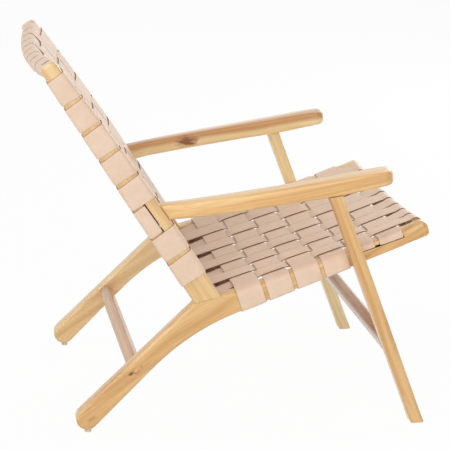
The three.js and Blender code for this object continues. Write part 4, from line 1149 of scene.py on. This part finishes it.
def tail(start, place, heights):
    """A straight tail for each way, from where it leaves a bar to a place below the weave, start left off."""
    end = np.stack(np.broadcast_arrays(place, heights), axis=-1)
    share = np.linspace(0, 1, TAIL_STEPS + 1)[1:, None]
    return between(start[:, None], end[:, None], share)


print("a strap turns", round(math.degrees(np.ptp(front_turn))), "degrees round the front bar")

# %% Straps along the seat
REAR_SLACK, TAIL_SPREAD = 1.6, 1.15
REAR_TAIL, FRONT_TAIL, SEAT_POINTS = 48.0, 404.0, 251
REAR_EASE, FRONT_EASE, LIFT_TURN = (4.0, 42.0), (390.0, 434.0), (0.9 * math.pi, 1.45 * math.pi)
long_s = np.linspace(8.0, 426.0, SEAT_POINTS)


def seat_long_ways(number, y, over):
    """Ways of a lengthwise seat strap at places y: round the rear bar, the weave, round the front bar. A
    strap over the first cross strap stays high up to the bar, and the others come down on it."""
    bar_rear = -REAR_BAR_DROP - REAR_DIP * hollow(y)
    bar_front = FRONT_BAR_H - FRONT_DIP * hollow(y)
    round_bar = SEAT_BAR + SEATED
    rest = REAR_SLACK if over > 0 else round_bar - REAR_BAR_DROP
    rear = 1 - ease(long_s, *REAR_EASE)
    front = 1 - ease(long_s, *FRONT_EASE)
    lift = over * LIFT * weave(np.clip(long_s, SEAT_FIRST, seat_middles[-1]) - SEAT_FIRST, SEAT_PITCH)
    heights = seat_dish(long_s, y[:, None]) + lift * (1 - rear) * front + rest * rear
    woven = np.stack(np.broadcast_arrays(long_s, heights), axis=-1)
    lifted = ease(-rear_turn, *LIFT_TURN)
    rear_radius = round_bar + (rest + REAR_BAR_DROP - round_bar) * lifted
    rear_end = around(REAR_BAR_S, bar_rear, rear_radius, rear_turn)
    front_end = around(FRONT_BAR_S, bar_front, round_bar, front_turn)
    rear_tail = tail(rear_end[:, 0], REAR_TAIL, seat_dish(REAR_TAIL, y) - UNDER_WEAVE)
    front_tail = tail(front_end[:, -1], FRONT_TAIL, seat_dish(FRONT_TAIL, y) - UNDER_WEAVE)
    return np.concatenate([rear_tail[:, ::-1], rear_end, woven, front_end, front_tail], axis=1)


rear_widening = np.linspace(TAIL_SPREAD, 1.0, len(rear_turn))
widening = np.concatenate([np.full(TAIL_STEPS, TAIL_SPREAD), rear_widening,
                           np.ones(len(long_s) + len(front_turn) + TAIL_STEPS)])


def along_seat(number, middle, v, s, h):
    """Seat line and height to the side view; the rear tail is wider, as the bar presses it flat."""
    x, z = seat_at(s, h)
    return x, middle + v * widening, z


long_middles = (np.arange(LONG_COUNT) - (LONG_COUNT - 1) / 2) * LONG_PITCH
add_straps("seat_long", long_middles, LONG_WIDTH, seat_long_ways, along_seat, first_over=-1, seed=200)

# %% [markdown]
# ## Straps across the back
#
# Eight straps run across the back and round the posts. They close up at the post's front edge and
# spread at its rear edge, where wood shows between them. The sixth goes through the slot.

# %% Straps across the back
BACK_FIRST, BACK_PITCH, BACK_WIDTH, BACK_COUNT, BACK_SLOTTED = 536.0, 63.5, 54.5, 8, 6
FRONT_SPREAD, REAR_SPREAD, SLOT_SPREAD = 1.045, 0.985, 1.2
POST_LANDING, POST_LANDING_ROUND, POST_FRONT_ROUND = RAIL_INNER + 4.0, 12.0, 8.0
SLOT_SAG, SLOT_SAG_ROUND = 0.5, 3.0
EDGE_EASE, SLOT_EASE = (4.0, 44.0), (22.0, 30.0)


def back_dish(b, y):
    """Place of the back at b and y: the post's belly less a hollow that deepens to the top."""
    share = (b - LOWER_BAR_B) / (TOP_RAIL_B - LOWER_BAR_B)
    return post_belly(b) - between(LOWER_BOW, TOP_BOW, share) * hollow(y)


def back_cross_ways(number, b, over):
    """Ways of a back strap at places b: the weave, then round the post or through its slot."""
    heights = back_dish(b[:, None], cross_y) + over * cross_lift
    front, rear = post_belly(b) + SEATED, -post_depth(b) - SEATED
    if number == BACK_SLOTTED:
        corners = ((INNER, heights[:, -1] - SLOT_SAG), (INNER, -BACK_SLOT_DEPTH), (OUTER, -BACK_SLOT_DEPTH),
                   (OUTER, rear), (LANDING, rear))
        return cross_ways(heights, corners, (SLOT_SAG_ROUND, SLOT_ROUND, SLOT_ROUND, LOW_ROUND))
    corners = (POST_LANDING, front), (OUTER, front), (OUTER, rear), (INNER, rear), (INNER, rear + TAIL)
    return cross_ways(heights, corners, (POST_LANDING_ROUND, POST_FRONT_ROUND, LOW_ROUND, LOW_ROUND))


def on_back(number, middle, v, y, n):
    """Back line and depth to the side view. A strap is wider in front than behind the post, and the one
    in the slot spreads out behind it."""
    spread = between(FRONT_SPREAD, REAR_SPREAD, ease(-n, *EDGE_EASE))
    if number == BACK_SLOTTED:
        behind = np.maximum(ease(np.abs(y), RAIL_INNER, RAIL_OUTER), ease(-n, *SLOT_EASE))
        spread = between(spread, SLOT_SPREAD, behind)
    x, z = back_at(middle + v * spread, n)
    return x, y, z


back_middles = BACK_FIRST - BACK_PITCH * np.arange(BACK_COUNT)
add_straps("back_cross", back_middles, BACK_WIDTH, back_cross_ways, on_back, first_over=1, seed=300)

# %% [markdown]
# ## Straps along the back
#
# Nine straps run up the back from the lower bar and go round the top rail, where they lie close to
# each other and hide the wood.

# %% Straps along the back
ROLL_TOP, ROLL_LOW, ROLL_DEEP, ROLL_ROUND, ROLL_STEPS = 592.95, 567.0, 15.3, 11.5, 8
LONG_SPREAD, ROLL_DOME = 1.085, 0.8
TOP_TAIL, LOWER_TAIL, BACK_POINTS = 520.0, 98.0, 281
FOOT_EASE, HEAD_EASE = (40.0, 78.0), (544.0, 570.0)
long_b = np.linspace(48.0, 556.0, BACK_POINTS)


def back_long_ways(number, y, over):
    """Ways of a lengthwise back strap at places y: round the lower bar, the weave, round the top rail."""
    bar = LOWER_BAR_N - LOWER_BOW * hollow(y)
    rail = TOP_RAIL_N - TOP_BOW * hollow(y)
    rest = LOWER_BAR_N + LOWER_BAR + SEATED - float(post_belly(LOWER_BAR_B))
    foot = 1 - ease(long_b, *FOOT_EASE)
    head = 1 - ease(long_b, *HEAD_EASE)
    lift = over * LIFT * weave(BACK_FIRST - np.clip(long_b, back_middles[-1], BACK_FIRST), BACK_PITCH)
    place = back_dish(long_b, y[:, None]) + lift * (1 - foot) * head + rest * foot
    woven = np.stack(np.broadcast_arrays(long_b, place), axis=-1)
    front, rear = rail + ROLL_DEEP, rail - ROLL_DEEP
    corners = stacked((long_b[-1], place[:, -1]), (ROLL_TOP, front), (ROLL_TOP, rear), (ROLL_LOW, rear),
                      (TOP_TAIL, back_dish(TOP_TAIL, y) - UNDER_WEAVE))
    end = fillet_path(corners, ROLL_ROUND, ROLL_STEPS)[:, 1:]
    lower_end = around(LOWER_BAR_B, bar, LOWER_BAR + SEATED, rear_turn)
    lower_tail = tail(lower_end[:, 0], LOWER_TAIL, back_dish(LOWER_TAIL, y) - UNDER_WEAVE)
    return np.concatenate([lower_tail[:, ::-1], lower_end, woven, end], axis=1)


def along_back(number, middle, v, b, n):
    """Back line and depth to the side view, with the strap's own place across."""
    x, z = back_at(b, n)
    return x, middle + v, z


add_straps("back_long", long_middles, LONG_WIDTH * LONG_SPREAD, back_long_ways, along_back, first_over=-1,
           seed=400, dome=ROLL_DOME)

# %% [markdown]
# ## Plugs
#
# A wooden plug hides the fixing of the rear stretcher in each leg. It is cut from the leg's own wood,
# set so that the figure runs on through it, and planed flush, so that it hardly shows.

# %% Plugs
PLUG_RADIUS, PLUG_LENGTH, PLUG_EASE, PLUG_SUNK = 6.0, 8.0, 0.5, 0.1
plug_turn = np.linspace(0, 2 * math.pi, 41)[:-1]
plug_radii = np.array([PLUG_RADIUS - PLUG_EASE, PLUG_RADIUS, PLUG_RADIUS])[:, None]
plug_depths = np.array([PLUG_SUNK, PLUG_EASE, PLUG_LENGTH])[:, None]
plug_x = rear_stretcher_place[0] + plug_radii * np.cos(plug_turn)
plug_z = rear_stretcher_place[1] + plug_radii * np.sin(plug_turn)
for side, sign in SIDES:
    grid = in_frame(plug_x, sign * (RAIL_OUTER - plug_depths), plug_z)
    mesh = skin(f"plug_{side}", grid)
    to_grain, plug_wood = rail_finish[side]
    mark(mesh, "grain", to_grain(grid.reshape(-1, 3)))
    add_piece(mesh, plug_wood, "wood", f"stretcher_plug_{side}")
print("plugs:", len(SIDES))

# %% [markdown]
# ## Fixings and feet
#
# Bolts, dowels and glides keep the shape of their solids and get a finish of their own. They
# read the object's own coordinates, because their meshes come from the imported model.

# %% The node group of a speckled finish
speckle, speckle_in, speckle_out = new_group(
    "speckle",
    {"Vector": ["Place"], "Color": ["First", "Second"], "Float": ["Gloss Low", "Gloss High"]},
    {"Color": ["Color"], "Float": ["Roughness"]})
specks = noise(speckle_in["Place"], (1.0, 1.0, 1.0), 3.0)
feed(speckle_out, {
    "Color": blended(remap(specks, 0.35, 0.65), speckle_in["First"], speckle_in["Second"]),
    "Roughness": remap(specks, 0.3, 0.7, speckle_in["Gloss Low"], speckle_in["Gloss High"])})
print("speckle:", len(speckle.nodes), "nodes")

# %% The fixings' materials
GLOSS_RANGE = 0.06


def speckled(name, first, second, roughness, metallic=0.0, scales=(400.0, 400.0, 400.0)):
    """Two near tones mixed by noise, with the roughness following it a little."""
    material, tree, shader = new_material(name)
    place = scaled(outputs_of(tree, "ShaderNodeTexCoord", {})["Object"], scales)
    values = {"Place": place, "First": colour(*first), "Second": colour(*second),
              "Gloss Low": roughness - GLOSS_RANGE, "Gloss High": roughness + GLOSS_RANGE}
    finish = outputs_of(tree, "ShaderNodeGroup", values, node_tree=speckle)
    feed(shader, {"Base Color": finish["Color"], "Roughness": finish["Roughness"], "Metallic": metallic})
    return material


steel = speckled("bolt_steel", (150, 151, 153), (126, 128, 131), 0.36, 1.0, (90.0, 900.0, 90.0))
nylon = speckled("glide_nylon", (226, 220, 208), (212, 205, 192), 0.6)
end_grain = speckled("dowel_wood", (206, 158, 100), (178, 128, 74), 0.55, 0.0, (500.0, 60.0, 500.0))
FINISHES = {"leg_bolt": steel, "rear_glide": nylon, "post_dowel": end_grain, "arm_dowel": end_grain,
            "leg_dowel": end_grain}
finished = [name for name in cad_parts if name.rsplit("_", 1)[0] in FINISHES]
for name in finished:
    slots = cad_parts[name].data.materials
    slots.clear()
    slots.append(FINISHES[name.rsplit("_", 1)[0]])
print("finished nodes:", len(finished))

# %% [markdown]
# ## Floor and light
#
# The chair stands in a white room, lit by four large soft lamps and a little light from all round.
# The key lamp by the camera lights the near side, the side and rear lamps lift the back and the
# arms, and the fill lamp beyond the front keeps the far side clear. Large lamps leave no glare on
# the leather. The floor is white to the camera but keeps a faint shadow under the feet: the white
# comes from the floor's and the world's own colour, not from more light on the chair.


# %% Floor and world
def white_rays(tree):
    """1 for rays of the camera, reflections and glass, which see the room's plain white, and else 0."""
    ray = outputs_of(tree, "ShaderNodeLightPath", {})
    return maths("MAXIMUM", ray["Is Camera Ray"],
                 maths("MAXIMUM", ray["Is Glossy Ray"], ray["Is Transmission Ray"]))


WHITE = (1.0, 1.0, 1.0, 1.0)
FLOOR_RADIUS, FLOOR_CORNERS, FLOOR_WHITE, ROOM_LEVEL = 30.0, 96, 0.96, 0.2
floor_turn = np.linspace(0, 2 * math.pi, FLOOR_CORNERS + 1)[:-1]
floor_rim = FLOOR_RADIUS * np.stack([np.cos(floor_turn), np.sin(floor_turn), 0 * floor_turn], axis=1)
floor_mesh = bpy.data.meshes.new("floor")
floor_mesh.from_pydata(floor_rim.tolist(), [], [list(range(FLOOR_CORNERS))])
floor_piece = add_object("floor", floor_mesh)

floor_paint, tree, shader = new_material("floor_paint")
feed(shader, {"Base Color": (0.9, 0.9, 0.9, 1.0), "Roughness": 0.9, "Specular IOR Level": 0.0})
glow = outputs_of(tree, "ShaderNodeEmission", {"Color": WHITE, "Strength": 1.0})[0]
white_share = times(white_rays(tree), FLOOR_WHITE)
mixed = outputs_of(tree, "ShaderNodeMixShader", {0: white_share, 1: shader.outputs[0], 2: glow})[0]
feed(tree.nodes["Material Output"], {"Surface": mixed})
floor_mesh.materials.append(floor_paint)

world = bpy.data.worlds.new("white_room")
bpy.context.scene.world = world
world.use_nodes = True
room_light = plus(times(white_rays(world.node_tree), 1.0 - ROOM_LEVEL), ROOM_LEVEL)
feed(world.node_tree.nodes["Background"], {"Color": WHITE, "Strength": room_light})
print("light from all round:", ROOM_LEVEL)

# %% Soft lamps: place and size in metres, power in watts
MIDDLE = np.array([0.0, 0.0, 0.4])
LAMPS = {"key_lamp": ((0.3, -3.3, 1.6), 3.2, 54.0),
         "side_lamp": ((-1.7, -2.9, 1.6), 3.2, 23.0),
         "rear_lamp": ((-2.6, -0.5, 2.7), 2.2, 46.0),
         "fill_lamp": ((2.6, 2.4, 2.6), 3.8, 106.0)}
for name, (place, size, power) in LAMPS.items():
    lamp_data = bpy.data.lights.new(name, "AREA")
    lamp_data.size, lamp_data.energy = size, power
    back = unit(np.array(place) - MIDDLE)
    level = unit(np.cross([0.0, 0.0, 1.0], back))
    turn_to(add_object(name, lamp_data), level, np.cross(back, level), back, place)
print("lamps:", list(LAMPS))
